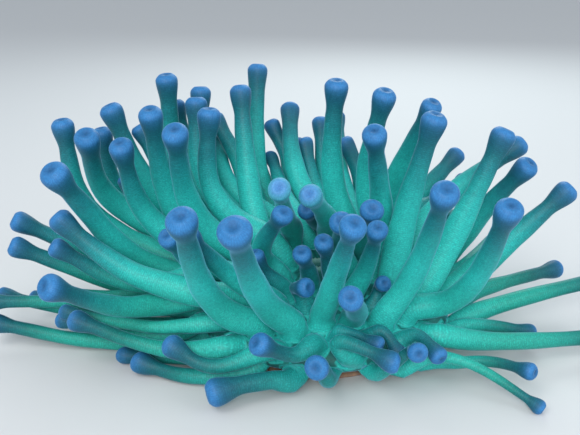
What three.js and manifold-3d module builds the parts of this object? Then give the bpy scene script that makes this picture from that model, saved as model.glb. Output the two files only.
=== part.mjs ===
// Giant Caribbean sea anemone (Condylactis gigantea), life size, at rest on the sea floor.
// Millimetres, +Z up, -Y is the front. The origin is the centre of the pedal disc's underside.
// The body is a short column under a wide oral disc. About a hundred stout tentacles stand on
// the disc in six rings, each a bent tapering stalk that ends in a swollen bulb with a pore.
import * as THREE from 'three';
import { mergeVertices } from 'three/addons/utils/BufferGeometryUtils.js';
import Module from 'manifold-3d';

// ---------------------------------------------------------------- driving dimensions (mm)
const GAP = 0.4;                 // clearance between neighbouring solids
const DISC_RADIUS = 66;          // oral disc, out to where the margin starts to roll over
const EDGE_RADIUS = 9;           // roll of the margin
const DISC_TOP = 39;             // height of the disc's middle
const DISC_DROP = 12;            // how much lower the disc is at DROP_RADIUS
const DROP_RADIUS = 70;
const LEAN = 0.003;              // the disc tips forward: heights grow this much per mm of +Y
const MOUTH_DIP = 1.5;           // how deep the disc's middle dips
const MOUTH_FIELD = 18;          // bare middle of the disc, inside the first tentacles
const BODY_TOP_OF_COLUMN = 11;   // underside of the disc
const COLUMN_WAIST = 57;
const COLUMN_TOP_RADIUS = 61;
const PEDAL_RADIUS = 63;
const PEDAL_THICKNESS = 3.6;
const PEDAL_ROLL = 2.4;          // how far its upper edge is drawn in
const PEDAL_FLAT = 60;           // radius of the flat underside that the animal stands on
const LIP_LENGTH = 9;            // half length of the mouth slit, along X
const LIP_WIDTH = 5;
const LIP_THICKNESS = 2.4;
const SECTORS = 8;               // the margin is eight flesh-to-flesh sectors
const SECTOR_CUT = 1;            // degrees between neighbouring sectors
const SECTOR_STEPS = 3;          // facets across one sector

// The tentacles' places are read on a chart: an upright plane through the middle of the crown,
// seen from an eye in front of it and above it.
const EYE_DISTANCE = 410;
const EYE_ELEVATION = 20;        // degrees
const CROWN_MIDDLE = new THREE.Vector3(-18, -20, 75);

// ---------------------------------------------------------------- tentacle proportions
const SIDES_OWN = 6;             // sides of the section of a tentacle that is its own part
const SIDES_JOINED = 5;          // and of one that is joined to the margin
const SECTION_SWELL = 1.03;      // the section's corners stand this much outside the round
const NECK = 0.72;               // neck radius over bulb radius
const TAPER = 0.85;              // below 1 the stalk keeps its width longer toward the neck
const ROOT_SHARE = 0.75;         // root radius: this share of the bulb's radius...
const ROOT_EXTRA = 2.2;          // ...and this much more (mm)
const ROOT_DEPTH = 2.0;          // how far a joined root is sunk in its sector
const ROOT_GAP = 0.8;            // how far the root of a tentacle of its own stands off
// Lengths in bulb radii, measured back from the tentacle's end.
const FLARE_START = 2.9;         // the neck begins to widen
const FLARE_END = 1.15;          // the bulb is at its widest, and its round cap begins
const CAP_POWER = 2.4;           // above 2 the cap is blunter than a ball
const END_FACE_DEPTH = 0.12;     // the flat end face with the pore
const END_FACE_RADIUS = 0.62;
const WIDEST_RING = 1.12;
const NECK_RING = 2.75;
const BULB_REACH = 0.8;          // the end lies this many bulb radii past the bulb's middle
// Rings between the root and the neck, as shares of that length counted from the neck.
const BEND_RINGS = [0.87, 0.62, 0.32];
const SHORT_BEND_RINGS = [0.75, 0.38];
const SHORT_LENGTH = 74;         // joined tentacles up to this length have the shorter list

// ---------------------------------------------------------------- how the crown settles
const SPREAD_ROUNDS = 300;       // rounds in which the roots find room on the skin
const SPREAD_SHARE = 0.4;        // share of the lacking room that both roots give way by
const INMOST_OWN = 3;            // own roots keep this far outside the bare middle
const OUTMOST_RING = 88;         // no root sits farther round the margin than this
const CUT_CLEARANCE = 1.2;       // joined roots keep this far from the cuts between sectors
const CUT_SHARE = 0.3;
const SAMPLES = 20;              // beads along a tentacle
const CURVE_STEPS = 80;
const LEAVE_LENGTH = 16;         // a stalk leaves the skin squarely over this length...
const LEAVE_SHARE = 0.2;         // ...or over this share of its own reach, if that is less
const TIP_HANDLE = 0.3;          // how stiffly the last stretch keeps its direction
const HALF_DEPTH = 0.4;          // depth of the halfway point between the root's and the end's
const REAR_ARCH = 0.12;          // rise of the rear fringe's halfway point, over its reach
const SETTLE_ROUNDS = 220;
const FREE_ROUNDS = 60;          // last rounds, in which the stalks no longer smooth out
const PAIR_ROUNDS = 10;          // the list of near pairs holds for this many rounds
const PAIR_MARGIN = 6;
const PUSH_SHARE = 0.7;
const FAST_BEADS = 2;            // beads next to the root that the body doesn't lift
const ROOM = 2.2;                // distance that settling tries to leave between stalks
const CLEAR_OF_BODY = 1.4;       // room left between a bent stalk and the body
const FLOOR_PRESS = 0.92;        // a stalk on the floor flattens until its axis is this low

// One row a tentacle: name, ring (mm from the mouth over the skin), turn (degrees from +X),
// halfway point across and up the chart, bulb across and up the chart, bulb's reach toward the
// eye, bulb radius. The last column says whether the tentacle is a part of its own (1) or is
// joined to its sector of the margin (0).
const CHART = [
  ['back_left_1', 72, 171, -111, 10, -122, 51, -20, 6.5, 1],
  ['back_left_2', 70, 160, -102, 10, -112, 40, 0, 7.0, 1],
  ['back_left_3', 80, 154, -92, 12, -101, 46, -45, 6.1, 0],
  ['back_left_4', 68, 146, -71, 11, -94, 58, -34, 6.8, 1],
  ['back_left_5', 60, -166, -81, 3, -92, 36, 20, 6.5, 1],
  ['back_left_6', 67, -174, -99, -16, -133, 19, 48, 7.2, 1],
  ['back_left_7', 82, 163, -79, 1, -89, 23, -56, 4.6, 0],
  ['back_1', 70, 134, -61, 29, -67, 74, -46, 6.6, 1],
  ['back_2', 80, 128, -53, 26, -62, 61, -75, 5.7, 0],
  ['back_3', 56, 180, -67, 12, -76, 55, 8, 6.7, 1],
  ['back_4', 58, 158, -71, 18, -87, 43, -45, 5.0, 0],
  ['back_5', 46, -168, -56, 7, -63, 44, 38, 6.7, 1],
  ['back_6', 62, 124, -41, 31, -42, 69, -70, 6.4, 1],
  ['back_7', 50, 146, -49, 26, -51, 61, -45, 6.6, 1],
  ['back_8', 36, -160, -46, 12, -46, 52, -6, 6.6, 1],
  ['back_9', 50, 122, -29, 21, -46, 50, -80, 5.6, 0],
  ['back_10', 38, 134, -34, 18, -41, 48, -92, 5.4, 0],
  ['back_11', 30, 172, -23, 21, -27, 68, -38, 6.5, 1],
  ['back_12', 54, 108, -17, 34, -16, 80, -74, 6.4, 1],
  ['back_13', 58, 96, -4, 19, -17, 48, -90, 5.4, 0],
  ['back_14', 32, 110, -4, 10, -12, 32, -90, 4.8, 0],
  ['back_15', 70, 114, -22, 12, -30, 36, -82, 4.6, 0],
  ['back_16', 40, 90, 1, 23, 0, 56, -95, 6.3, 0],
  ['back_17', 48, 76, 12, 15, 4, 41, -88, 5.6, 0],
  ['back_18', 70, 90, 8, 18, 4, 41, -102, 4.8, 0],
  ['back_19', 60, 78, 20, 21, 18, 52, -100, 5.8, 0],
  ['back_20', 26, 36, 21, 25, 24, 70, -6, 6.6, 1],
  ['back_21', 64, 64, 35, 15, 24, 37, -90, 6.0, 0],
  ['back_22', 46, 58, 29, 20, 27, 55, -112, 5.5, 0],
  ['back_23', 34, 25, 40, 25, 50, 65, 0, 6.7, 1],
  ['back_24', 32, -14, 48, 7, 45, 44, 42, 6.4, 1],
  ['right_1', 62, 50, 60, 27, 77, 60, -28, 6.4, 1],
  ['right_2', 46, -30, 62, 7, 77, 53, 30, 6.6, 1],
  ['right_3', 66, 36, 73, 10, 93, 33, -80, 5.9, 0],
  ['right_4', 62, -62, 72, -20, 84, 13, 84, 6.6, 1],
  ['right_5', 60, -36, 94, -1, 116, 44, 14, 6.6, 1],
  ['right_6', 46, -10, 87, 12, 124, 39, -26, 6.4, 1],
  ['right_7', 70, 8, 104, 4, 128, 28, -5, 6.6, 1],
  ['right_8', 66, -49, 100, -37, 119, 2, 78, 6.5, 1],
  ['right_9', 74, -22, 114, -17, 150, 14, -4, 6.6, 1],
  ['right_10', 66, -3, 97, -18, 114, -3, -80, 5.3, 0],
  ['low_right_1', 78, -8, 114, -36, 144, -28, -52, 5.8, 0],
  ['low_right_2', 78, -24, 129, -43, 175, -32, -16, 6.2, 1],
  ['low_right_3', 82, -35, 106, -58, 129, -62, -15, 5.0, 0],
  ['low_right_4', 80, -45, 128, -67, 177, -64, -10, 5.8, 1],
  ['low_right_5', 86, -53, 109, -74, 130, -80, 36, 4.6, 0],
  ['low_right_6', 84, -62, 98, -80, 134, -105, 40, 3.8, 0],
  ['inner_1', 22, 120, 1, -4, -2, 10, 32, 6.0, 1],
  ['inner_2', 22, 66, 15, -2, 4, 10, 26, 6.1, 1],
  ['inner_3', 36, 108, 15, -10, 14, -2, -15, 5.4, 0],
  ['inner_4', 22, -45, 26, -15, 24, -5, 38, 5.9, 1],
  ['inner_5', 24, 0, 42, -12, 47, 3, 34, 6.0, 1],
  ['inner_6', 36, -68, 43, -25, 48, -7, 44, 5.4, 1],
  ['inner_7', 66, -98, 23, -36, 34, -5, 88, 6.0, 1],
  ['inner_8', 24, -85, 22, -27, 21, -11, 22, 5.2, 0],
  ['inner_9', 38, -98, 12, -32, 9, -20, 20, 5.2, 0],
  ['inner_10', 50, -138, -18, -19, -6, 1, 34, 5.5, 1],
  ['inner_11', 40, -128, -12, -32, -18, -17, 8, 5.0, 0],
  ['inner_12', 52, -111, -2, -45, 7, -45, 22, 5.1, 0],
  ['inner_13', 60, -76, 34, -54, 32, -47, 65, 6.0, 1],
  ['inner_14', 44, -46, 49, -40, 52, -40, 12, 4.4, 0],
  ['left_1', 70, -119, -48, -36, -59, -1, 98, 6.9, 1],
  ['left_2', 60, -142, -54, -35, -68, -19, 34, 5.6, 0],
  ['left_3', 70, -108, -20, -39, -31, -8, 108, 7.2, 1],
  ['left_4', 58, -122, -36, -34, -57, -14, 62, 5.6, 0],
  ['low_left_1', 80, 178, -100, -24, -148, -3, -16, 6.2, 0],
  ['low_left_2', 80, -172, -103, -39, -151, -21, -8, 6.0, 0],
  ['low_left_3', 66, -154, -89, -42, -125, -23, 4, 5.3, 0],
  ['low_left_4', 62, -134, -80, -38, -116, -3, 12, 6.4, 1],
  ['low_left_5', 80, -146, -87, -58, -128, -46, 60, 6.5, 1],
  ['low_left_6', 80, -143, -84, -57, -118, -50, -14, 4.2, 0],
  ['low_left_7', 84, -132, -76, -67, -114, -54, 8, 5.9, 0],
  ['low_left_8', 88, -143, -84, -65, -122, -55, -14, 4.6, 0],
  ['low_left_9', 82, -156, -106, -49, -157, -40, -20, 5.3, 0],
  ['low_left_10', 74, -154, -109, -51, -161, -51, -14, 5.2, 0],
  ['low_left_11', 82, -149, -106, -62, -160, -51, -14, 5.6, 0],
  ['low_left_12', 70, -166, -89, -48, -129, -44, -30, 4.8, 0],
  ['low_left_13', 82, -164, -95, -48, -139, -42, -40, 4.4, 0],
  ['front_1', 84, -116, -42, -81, -60, -70, 15, 5.8, 1],
  ['front_2', 86, -124, -53, -84, -78, -72, 8, 5.8, 1],
  ['front_3', 88, -140, -62, -73, -87, -65, -10, 4.8, 0],
  ['front_4', 82, -106, -19, -78, -39, -84, 32, 6.9, 1],
  ['front_5', 79, -105, -1, -76, -16, -70, 52, 5.7, 1],
  ['front_6', 83, -93, 19, -76, 15, -77, 54, 5.9, 1],
  ['front_7', 71, -94, 33, -67, 59, -76, 43, 5.5, 1],
  ['front_8', 74, -68, 61, -69, 63, -72, 44, 4.9, 0],
  ['front_9', 74, -58, 71, -68, 79, -77, 34, 4.7, 0],
  ['front_10', 67, -72, 48, -68, 49, -79, 23, 4.6, 0],
  ['front_11', 62, -87, 34, -63, 52, -71, 32, 4.2, 0],
];

// The rear fringe lies outward and down behind the crown, evenly spread.
const REAR_ROWS = [
  {
    count: 8, ring: 80, firstTurn: 46, lastTurn: 140, sway: 9,
    length: 70, bulb: 5.6, heights: [26, 50],
  },
  {
    count: 3, ring: 54, firstTurn: 12, lastTurn: 42, sway: 4,
    length: 50, bulb: 5.8, heights: [62, 74],
  },
];
const SWAY_STEP = 2.4;           // radians of the wave by which each next one sways

// ---------------------------------------------------------------- colours
const STALK_COLOUR = 0x2fa89a;
const MARGIN_COLOUR = 0x2c9c90;
const BODY_COLOUR = 0xa8785c;
const LIP_COLOUR = 0x9fd0c8;

const radians = THREE.MathUtils.degToRad;

// ---------------------------------------------------------------- the body's outer skin
// Distance along the skin from the mouth, over the disc and round the margin, to radius and
// height before the disc's forward lean.
function skinSection(along) {
  const edgeTop = DISC_TOP - DISC_DROP * (DISC_RADIUS / DROP_RADIUS) ** 2;
  if (along <= DISC_RADIUS) {
    return [along, DISC_TOP - DISC_DROP * (along / DROP_RADIUS) ** 2];
  }
  const roll = (along - DISC_RADIUS) / EDGE_RADIUS;
  return [DISC_RADIUS + EDGE_RADIUS * Math.sin(roll),
    edgeTop - EDGE_RADIUS + EDGE_RADIUS * Math.cos(roll)];
}

function leaned(radius, turn, height) {
  const y = radius * Math.sin(turn);
  return new THREE.Vector3(radius * Math.cos(turn), y, height * (1 + LEAN * y));
}

function skinPoint(along, turn) {
  const [radius, height] = skinSection(along);
  return leaned(radius, turn, height);
}

// Two directions that lie in the skin, outward and round, and the direction that leaves it.
function skinFrame(along, turn) {
  const step = 0.01;
  const outward = skinPoint(along + step, turn).sub(skinPoint(along, turn)).normalize();
  const round = new THREE.Vector3(-Math.sin(turn), Math.cos(turn), 0);
  const normal = outward.clone().cross(round).normalize();
  return { outward, round, normal };
}

// A point of the chart, across and up on its plane and then moved toward the eye, as a point
// of the model. What lies nearer the eye keeps its line of sight.
function chartPoint(across, up, reach) {
  const tilt = radians(EYE_ELEVATION);
  const scale = (EYE_DISTANCE - reach) / EYE_DISTANCE;
  const rise = up * scale;
  return new THREE.Vector3(
    CROWN_MIDDLE.x + across * scale,
    CROWN_MIDDLE.y - reach * Math.cos(tilt) + rise * Math.sin(tilt),
    CROWN_MIDDLE.z + rise * Math.cos(tilt) + reach * Math.sin(tilt));
}

function reachOf(point) {
  const tilt = radians(EYE_ELEVATION);
  const behind = point.y - CROWN_MIDDLE.y;
  const above = point.z - CROWN_MIDDLE.z;
  return above * Math.sin(tilt) - behind * Math.cos(tilt);
}

// ---------------------------------------------------------------- roots find room on the skin
function rootRadius(bulb) {
  return ROOT_SHARE * bulb + ROOT_EXTRA;
}

function chartedTentacle([name, ring, turn, halfAcross, halfUp, across, up, reach, bulb, own]) {
  return {
    name, along: ring, turn: radians(turn), bulb, own: own === 1,
    half: [halfAcross, halfUp], tip: chartPoint(across, up, reach),
  };
}

function rearTentacle(row, i) {
  const turn = radians(row.firstTurn + (row.lastTurn - row.firstTurn) * i / (row.count - 1));
  const wander = turn + radians(row.sway * Math.sin(SWAY_STEP * i));
  const out = row.ring + row.length;
  const height = row.heights[i % row.heights.length];
  const tip = new THREE.Vector3(out * Math.cos(wander), out * Math.sin(wander), height);
  return { name: `rear_${row.ring}_${i + 1}`, along: row.ring, turn, bulb: row.bulb, own: false, tip };
}

function listTentacles() {
  const tentacles = CHART.map(chartedTentacle);
  for (const row of REAR_ROWS) {
    for (let i = 0; i < row.count; i += 1) {
      tentacles.push(rearTentacle(row, i));
    }
  }
  return tentacles;
}

// How far each root should slide outward and round, to leave its neighbours room.
function rootSlides(tentacles) {
  const places = tentacles.map((t) => skinPoint(t.along, t.turn));
  const frames = tentacles.map((t) => skinFrame(t.along, t.turn));
  const slides = tentacles.map(() => [0, 0]);
  for (let i = 0; i < tentacles.length; i += 1) {
    for (let j = i + 1; j < tentacles.length; j += 1) {
      const apart = places[i].clone().sub(places[j]);
      const distance = apart.length();
      const lack = rootRadius(tentacles[i].bulb) + rootRadius(tentacles[j].bulb) + ROOM - distance;
      if (lack > 0) {
        apart.multiplyScalar(SPREAD_SHARE * lack / Math.max(distance, 1e-6));
        slides[i][0] += apart.dot(frames[i].outward);
        slides[i][1] += apart.dot(frames[i].round);
        slides[j][0] -= apart.dot(frames[j].outward);
        slides[j][1] -= apart.dot(frames[j].round);
      }
    }
  }
  return slides;
}

// A joined root keeps off the thin cuts between the sectors of the margin.
function keepOffCuts(t) {
  const share = 2 * Math.PI / SECTORS;
  const off = t.turn - Math.round(t.turn / share) * share;
  const clear = (rootRadius(t.bulb) + CUT_CLEARANCE) / skinSection(t.along)[0];
  if (Math.abs(off) < clear) {
    t.turn += CUT_SHARE * (off < 0 ? -1 : 1) * (clear - Math.abs(off));
  }
}

function spreadRoots(tentacles) {
  for (let round = 0; round < SPREAD_ROUNDS; round += 1) {
    const slides = rootSlides(tentacles);
    tentacles.forEach((t, i) => {
      const [radius] = skinSection(t.along);
      const inmost = MOUTH_FIELD + (t.own ? INMOST_OWN : rootRadius(t.bulb) + CUT_CLEARANCE);
      t.along = THREE.MathUtils.clamp(t.along + slides[i][0], inmost, OUTMOST_RING);
      t.turn += slides[i][1] / radius;
      if (!t.own) {
        keepOffCuts(t);
      }
    });
  }
}

// ---------------------------------------------------------------- centre lines
function bezier(p0, p1, p2, p3, t) {
  const s = 1 - t;
  return p0.clone().multiplyScalar(s * s * s)
    .addScaledVector(p1, 3 * s * s * t)
    .addScaledVector(p2, 3 * s * t * t)
    .addScaledVector(p3, t * t * t);
}

function evenly(points, count) {
  const lengths = [0];
  for (let i = 1; i < points.length; i += 1) {
    lengths.push(lengths[i - 1] + points[i].distanceTo(points[i - 1]));
  }
  const total = lengths[lengths.length - 1];
  const line = [];
  let k = 0;
  for (let i = 0; i < count; i += 1) {
    const want = total * i / (count - 1);
    while (k < points.length - 2 && lengths[k + 1] < want) {
      k += 1;
    }
    const f = (want - lengths[k]) / (lengths[k + 1] - lengths[k]);
    line.push(points[k].clone().lerp(points[k + 1], Math.min(1, f)));
  }
  return line;
}

// Halfway point of a tentacle: from its chart row, or arched between its ends.
function halfwayPoint(t, root) {
  if (t.half) {
    const depth = THREE.MathUtils.lerp(reachOf(root), reachOf(t.tip), HALF_DEPTH);
    return chartPoint(t.half[0], t.half[1], depth);
  }
  const half = root.clone().lerp(t.tip, 0.5);
  half.z += REAR_ARCH * root.distanceTo(t.tip);
  return half;
}

// Centre line of a tentacle: it leaves the skin squarely, passes its halfway point and comes
// to its bulb straight from there. Its length is noted on the tentacle.
function drawLine(t) {
  const root = skinPoint(t.along, t.turn);
  const { normal } = skinFrame(t.along, t.turn);
  const chord = root.distanceTo(t.tip);
  const half = halfwayPoint(t, root);
  const last = t.tip.clone().sub(half).normalize();
  const p2 = t.tip.clone().addScaledVector(last, -TIP_HANDLE * chord);
  const p1 = half.clone().multiplyScalar(8).sub(root).sub(t.tip).addScaledVector(p2, -3).divideScalar(3);
  const leave = Math.min(LEAVE_LENGTH, LEAVE_SHARE * chord);
  const points = [];
  for (let i = 0; i <= CURVE_STEPS; i += 1) {
    const point = bezier(root, p1, p2, t.tip, i / CURVE_STEPS);
    const far = point.distanceTo(root);
    const ease = THREE.MathUtils.smoothstep(far, 0, leave);
    points.push(root.clone().addScaledVector(normal, far).lerp(point, ease));
  }
  const end = points[CURVE_STEPS].clone().sub(points[CURVE_STEPS - 1]).normalize();
  points.push(points[CURVE_STEPS].clone().addScaledVector(end, BULB_REACH * t.bulb));
  const line = evenly(points, SAMPLES);
  t.length = 0;
  for (let i = 1; i < SAMPLES; i += 1) {
    t.length += line[i].distanceTo(line[i - 1]);
  }
  return line;
}

// Radius of a tentacle a given distance before its end: a stalk that tapers from the root to
// the neck, a smooth flare into the bulb, and the bulb's blunt round cap.
function stalkRadius(t, fromEnd) {
  const neck = NECK * t.bulb;
  const flareFrom = FLARE_START * t.bulb;
  const run = Math.max(1, t.length - flareFrom);
  const share = THREE.MathUtils.clamp((fromEnd - flareFrom) / run, 0, 1);
  const stalk = neck + (rootRadius(t.bulb) - neck) * share ** TAPER;
  const flare = 1 - THREE.MathUtils.smoothstep(fromEnd, FLARE_END * t.bulb, flareFrom);
  const capShare = THREE.MathUtils.clamp(fromEnd / (FLARE_END * t.bulb), 0, 1);
  const cap = Math.sqrt(Math.max(0, 1 - (1 - capShare) ** CAP_POWER));
  return THREE.MathUtils.lerp(stalk, t.bulb, flare) * cap;
}

// ---------------------------------------------------------------- the crown settles
// Every tentacle is a chain of beads. Beads of different tentacles that come too near push
// each other off, the pushes are smoothed along the chain, and no bead sinks into the floor
// or the body.
function settle(tentacles, lines) {
  const beads = tentacles.length * SAMPLES;
  const at = new Float64Array(beads * 3);
  const radius = new Float64Array(beads);
  lines.forEach((line, i) => line.forEach((point, k) => {
    const bead = i * SAMPLES + k;
    point.toArray(at, 3 * bead);
    radius[bead] = stalkRadius(tentacles[i], tentacles[i].length * (1 - k / (SAMPLES - 1)));
  }));
  const home = at.slice();
  let near = [];
  for (let round = 0; round < SETTLE_ROUNDS; round += 1) {
    if (round % PAIR_ROUNDS === 0) {
      near = nearPairs(at, radius, beads);
    }
    const { push, touches } = pushes(near, at, radius, beads);
    const free = round >= SETTLE_ROUNDS - FREE_ROUNDS;
    for (let i = 0; i < tentacles.length; i += 1) {
      settleChain(at, home, push, touches, radius, i * SAMPLES, free);
    }
  }
  return tentacles.map((t, i) => Array.from({ length: SAMPLES },
    (unused, k) => new THREE.Vector3().fromArray(at, 3 * (i * SAMPLES + k))));
}

function nearPairs(at, radius, beads) {
  const pairs = [];
  for (let a = 0; a < beads; a += 1) {
    const chain = Math.floor(a / SAMPLES);
    for (let b = (chain + 1) * SAMPLES; b < beads; b += 1) {
      const reach = radius[a] + radius[b] + ROOM + PAIR_MARGIN;
      const dx = at[3 * a] - at[3 * b];
      const dy = at[3 * a + 1] - at[3 * b + 1];
      const dz = at[3 * a + 2] - at[3 * b + 2];
      if (dx * dx + dy * dy + dz * dz < reach * reach) {
        pairs.push([a, b]);
      }
    }
  }
  return pairs;
}

function pushes(near, at, radius, beads) {
  const push = new Float64Array(beads * 3);
  const touches = new Float64Array(beads);
  for (const [a, b] of near) {
    const apart = [0, 1, 2].map((c) => at[3 * a + c] - at[3 * b + c]);
    const distance = Math.hypot(...apart);
    const lack = radius[a] + radius[b] + ROOM - distance;
    if (lack > 0) {
      const half = 0.5 * lack / Math.max(distance, 1e-6);
      apart.forEach((along, c) => {
        push[3 * a + c] += half * along;
        push[3 * b + c] -= half * along;
      });
      touches[a] += 1;
      touches[b] += 1;
    }
  }
  return { push, touches };
}

// One round for one chain. Shifts from the drawn line are smoothed, unless the round is free.
function settleChain(at, home, push, touches, radius, first, free) {
  let shift = new Float64Array(SAMPLES * 3);
  for (let k = 1; k < SAMPLES; k += 1) {
    const bead = first + k;
    const share = PUSH_SHARE / Math.sqrt(Math.max(1, touches[bead]));
    for (let c = 0; c < 3; c += 1) {
      shift[3 * k + c] = at[3 * bead + c] + share * push[3 * bead + c] - home[3 * bead + c];
    }
  }
  if (!free) {
    shift = smoothed(smoothed(shift));
  }
  for (let k = 1; k < SAMPLES; k += 1) {
    const bead = first + k;
    const place = [0, 1, 2].map((c) => home[3 * bead + c] + shift[3 * k + c]);
    place[2] = Math.max(place[2], FLOOR_PRESS * radius[bead]);
    const kept = k > FAST_BEADS ? offBody(place, radius[bead]) : place;
    kept.forEach((value, c) => {
      at[3 * bead + c] = value;
    });
  }
}

function smoothed(shift) {
  const out = shift.slice();
  for (let k = 1; k < SAMPLES; k += 1) {
    for (let c = 0; c < 3; c += 1) {
      const back = shift[3 * (k - 1) + c];
      const own = shift[3 * k + c];
      out[3 * k + c] = k < SAMPLES - 1 ? (back + 2 * own + shift[3 * (k + 1) + c]) / 4 : (back + own) / 2;
    }
  }
  return out;
}

// A bead over the disc is lifted clear of it, and one beside the margin is moved off its roll.
function offBody([x, y, z], radius) {
  const lean = 1 + LEAN * y;
  const out = Math.hypot(x, y);
  if (out < DISC_RADIUS) {
    return [x, y, Math.max(z, skinSection(out)[1] * lean + radius + CLEAR_OF_BODY)];
  }
  const rollMiddle = (skinSection(DISC_RADIUS)[1] - EDGE_RADIUS) * lean;
  const sideways = out - DISC_RADIUS;
  const upward = z - rollMiddle;
  const away = Math.hypot(sideways, upward);
  const lack = EDGE_RADIUS + radius + CLEAR_OF_BODY - away;
  if (lack <= 0) {
    return [x, y, z];
  }
  const aside = lack * sideways / away / out;
  return [x + aside * x, y + aside * y, z + lack * upward / away];
}

// ---------------------------------------------------------------- solids
function closedGeometry(positions, triangles) {
  const geometry = new THREE.BufferGeometry();
  geometry.setAttribute('position', new THREE.Float32BufferAttribute(positions, 3));
  geometry.setIndex(triangles);
  return geometry;
}

// Rings of equal vertex count, each strip joined to the next, with flat ends.
function loft(rings) {
  const sides = rings[0].length;
  const positions = rings.flat().flatMap((p) => [p.x, p.y, p.z]);
  const triangles = [];
  for (let r = 0; r < rings.length - 1; r += 1) {
    for (let s = 0; s < sides; s += 1) {
      const a = r * sides + s;
      const b = r * sides + (s + 1) % sides;
      triangles.push(a, b, b + sides, a, b + sides, a + sides);
    }
  }
  const top = (rings.length - 1) * sides;
  for (let s = 1; s < sides - 1; s += 1) {
    triangles.push(0, s + 1, s);
    triangles.push(top, top + s, top + s + 1);
  }
  return closedGeometry(positions, triangles);
}

function pointAlong(line, length, fromEnd) {
  const f = THREE.MathUtils.clamp(1 - fromEnd / length, 0, 1) * (SAMPLES - 1);
  const k = Math.min(SAMPLES - 2, Math.floor(f));
  return line[k].clone().lerp(line[k + 1], f - k);
}

// Distances before the end at which a tentacle has its rings, root first.
function ringStations(t) {
  const neckAt = NECK_RING * t.bulb;
  const bends = t.own || t.length > SHORT_LENGTH ? BEND_RINGS : SHORT_BEND_RINGS;
  return [t.length, ...bends.map((share) => neckAt + share * (t.length - neckAt)),
    neckAt, WIDEST_RING * t.bulb, END_FACE_DEPTH * t.bulb];
}

// A tentacle: rings of a few sides from the root to the end face. The section is turned so
// that a flat side faces down, and what would sink into the floor is pressed flat on it.
function tentacleGeometry(t, line) {
  const sides = t.own ? SIDES_OWN : SIDES_JOINED;
  const stations = ringStations(t);
  const nearby = 3;
  const { normal } = skinFrame(t.along, t.turn);
  const centres = stations.map((fromEnd) => pointAlong(line, t.length, fromEnd));
  const tangents = stations.map((fromEnd) => pointAlong(line, t.length, fromEnd - nearby)
    .sub(pointAlong(line, t.length, fromEnd + nearby)).normalize());
  const radii = stations.map((fromEnd) => SECTION_SWELL * stalkRadius(t, fromEnd));
  radii[radii.length - 1] = END_FACE_RADIUS * t.bulb;
  tangents[0] = normal;
  centres[0].addScaledVector(normal, t.own ? ROOT_GAP : -ROOT_DEPTH);
  let down = new THREE.Vector3(0, 0, -1);
  const rings = [];
  for (let i = stations.length - 1; i >= 0; i -= 1) {
    down = down.addScaledVector(tangents[i], -down.dot(tangents[i])).normalize();
    const across = tangents[i].clone().cross(down);
    const ring = [];
    for (let s = 0; s < sides; s += 1) {
      const angle = 2 * Math.PI * (s + 0.5) / sides;
      const point = centres[i].clone()
        .addScaledVector(down, radii[i] * Math.cos(angle))
        .addScaledVector(across, radii[i] * Math.sin(angle));
      point.z = Math.max(point.z, 0);
      ring.push(point);
    }
    rings.unshift(ring);
  }
  return loft(rings);
}

// Part of the body between two turns: a section outline swept round the axis.
function sweepGeometry(outline, firstTurn, lastTurn, steps) {
  const rings = [];
  for (let i = 0; i <= steps; i += 1) {
    const turn = firstTurn + (lastTurn - firstTurn) * i / steps;
    rings.push(outline.map(([radius, height]) => leaned(radius, turn, height)));
  }
  const sides = outline.length;
  const positions = rings.flat().flatMap((p) => [p.x, p.y, p.z]);
  const triangles = [];
  for (let r = 0; r < steps; r += 1) {
    for (let s = 0; s < sides; s += 1) {
      const a = r * sides + s;
      const b = r * sides + (s + 1) % sides;
      triangles.push(a, b + sides, b, a, a + sides, b + sides);
    }
  }
  const flat = outline.map(([radius, height]) => new THREE.Vector2(radius, height));
  const faces = THREE.ShapeUtils.triangulateShape(flat, []);
  const top = steps * sides;
  for (const [a, b, c] of faces) {
    triangles.push(a, b, c);
    triangles.push(top + a, top + c, top + b);
  }
  return closedGeometry(positions, triangles);
}

// A solid of revolution with the forward lean; its outline starts and ends on the axis.
function leanedLathe(outline) {
  const geometry = new THREE.LatheGeometry(outline.map(([r, h]) => new THREE.Vector2(r, h)),
    SECTORS * SECTOR_STEPS);
  geometry.rotateX(Math.PI / 2);
  const position = geometry.attributes.position;
  for (let i = 0; i < position.count; i += 1) {
    position.setZ(i, position.getZ(i) * (1 + LEAN * position.getY(i)));
  }
  geometry.deleteAttribute('normal');
  geometry.deleteAttribute('uv');
  return mergeVertices(geometry, 1e-4);
}

// ---------------------------------------------------------------- joins
const wasm = await Module();
wasm.setup();

function toSolid(geometry) {
  const merged = mergeVertices(geometry, 1e-4);
  return new wasm.Manifold(new wasm.Mesh({
    numProp: 3,
    vertProperties: new Float32Array(merged.attributes.position.array),
    triVerts: new Uint32Array(merged.index.array),
  }));
}

function fromSolid(solid) {
  const mesh = solid.getMesh();
  return closedGeometry(Array.from(mesh.vertProperties), Array.from(mesh.triVerts));
}

// ---------------------------------------------------------------- the animal
const anemone = new THREE.Group();

function addPart(name, geometry, colour, roughness = 0.55) {
  const material = new THREE.MeshStandardMaterial({ color: colour, roughness, metalness: 0 });
  const mesh = new THREE.Mesh(geometry, material);
  mesh.name = name;
  anemone.add(mesh);
}

// The animal's foot: a thin round pad with a flat underside.
function pedalGeometry() {
  const swell = 1.4;
  return leanedLathe([[0, 0], [PEDAL_FLAT, 0], [PEDAL_RADIUS, swell],
    [PEDAL_RADIUS - PEDAL_ROLL, PEDAL_THICKNESS], [0, PEDAL_THICKNESS]]);
}

// The short column between the foot and the underside of the oral disc.
function columnGeometry() {
  const low = PEDAL_THICKNESS + GAP;
  const high = BODY_TOP_OF_COLUMN - GAP;
  return leanedLathe([[0, low], [PEDAL_RADIUS - PEDAL_ROLL - 1, low],
    [COLUMN_WAIST, (low + high) / 2], [COLUMN_TOP_RADIUS, high], [0, high]]);
}

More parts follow.
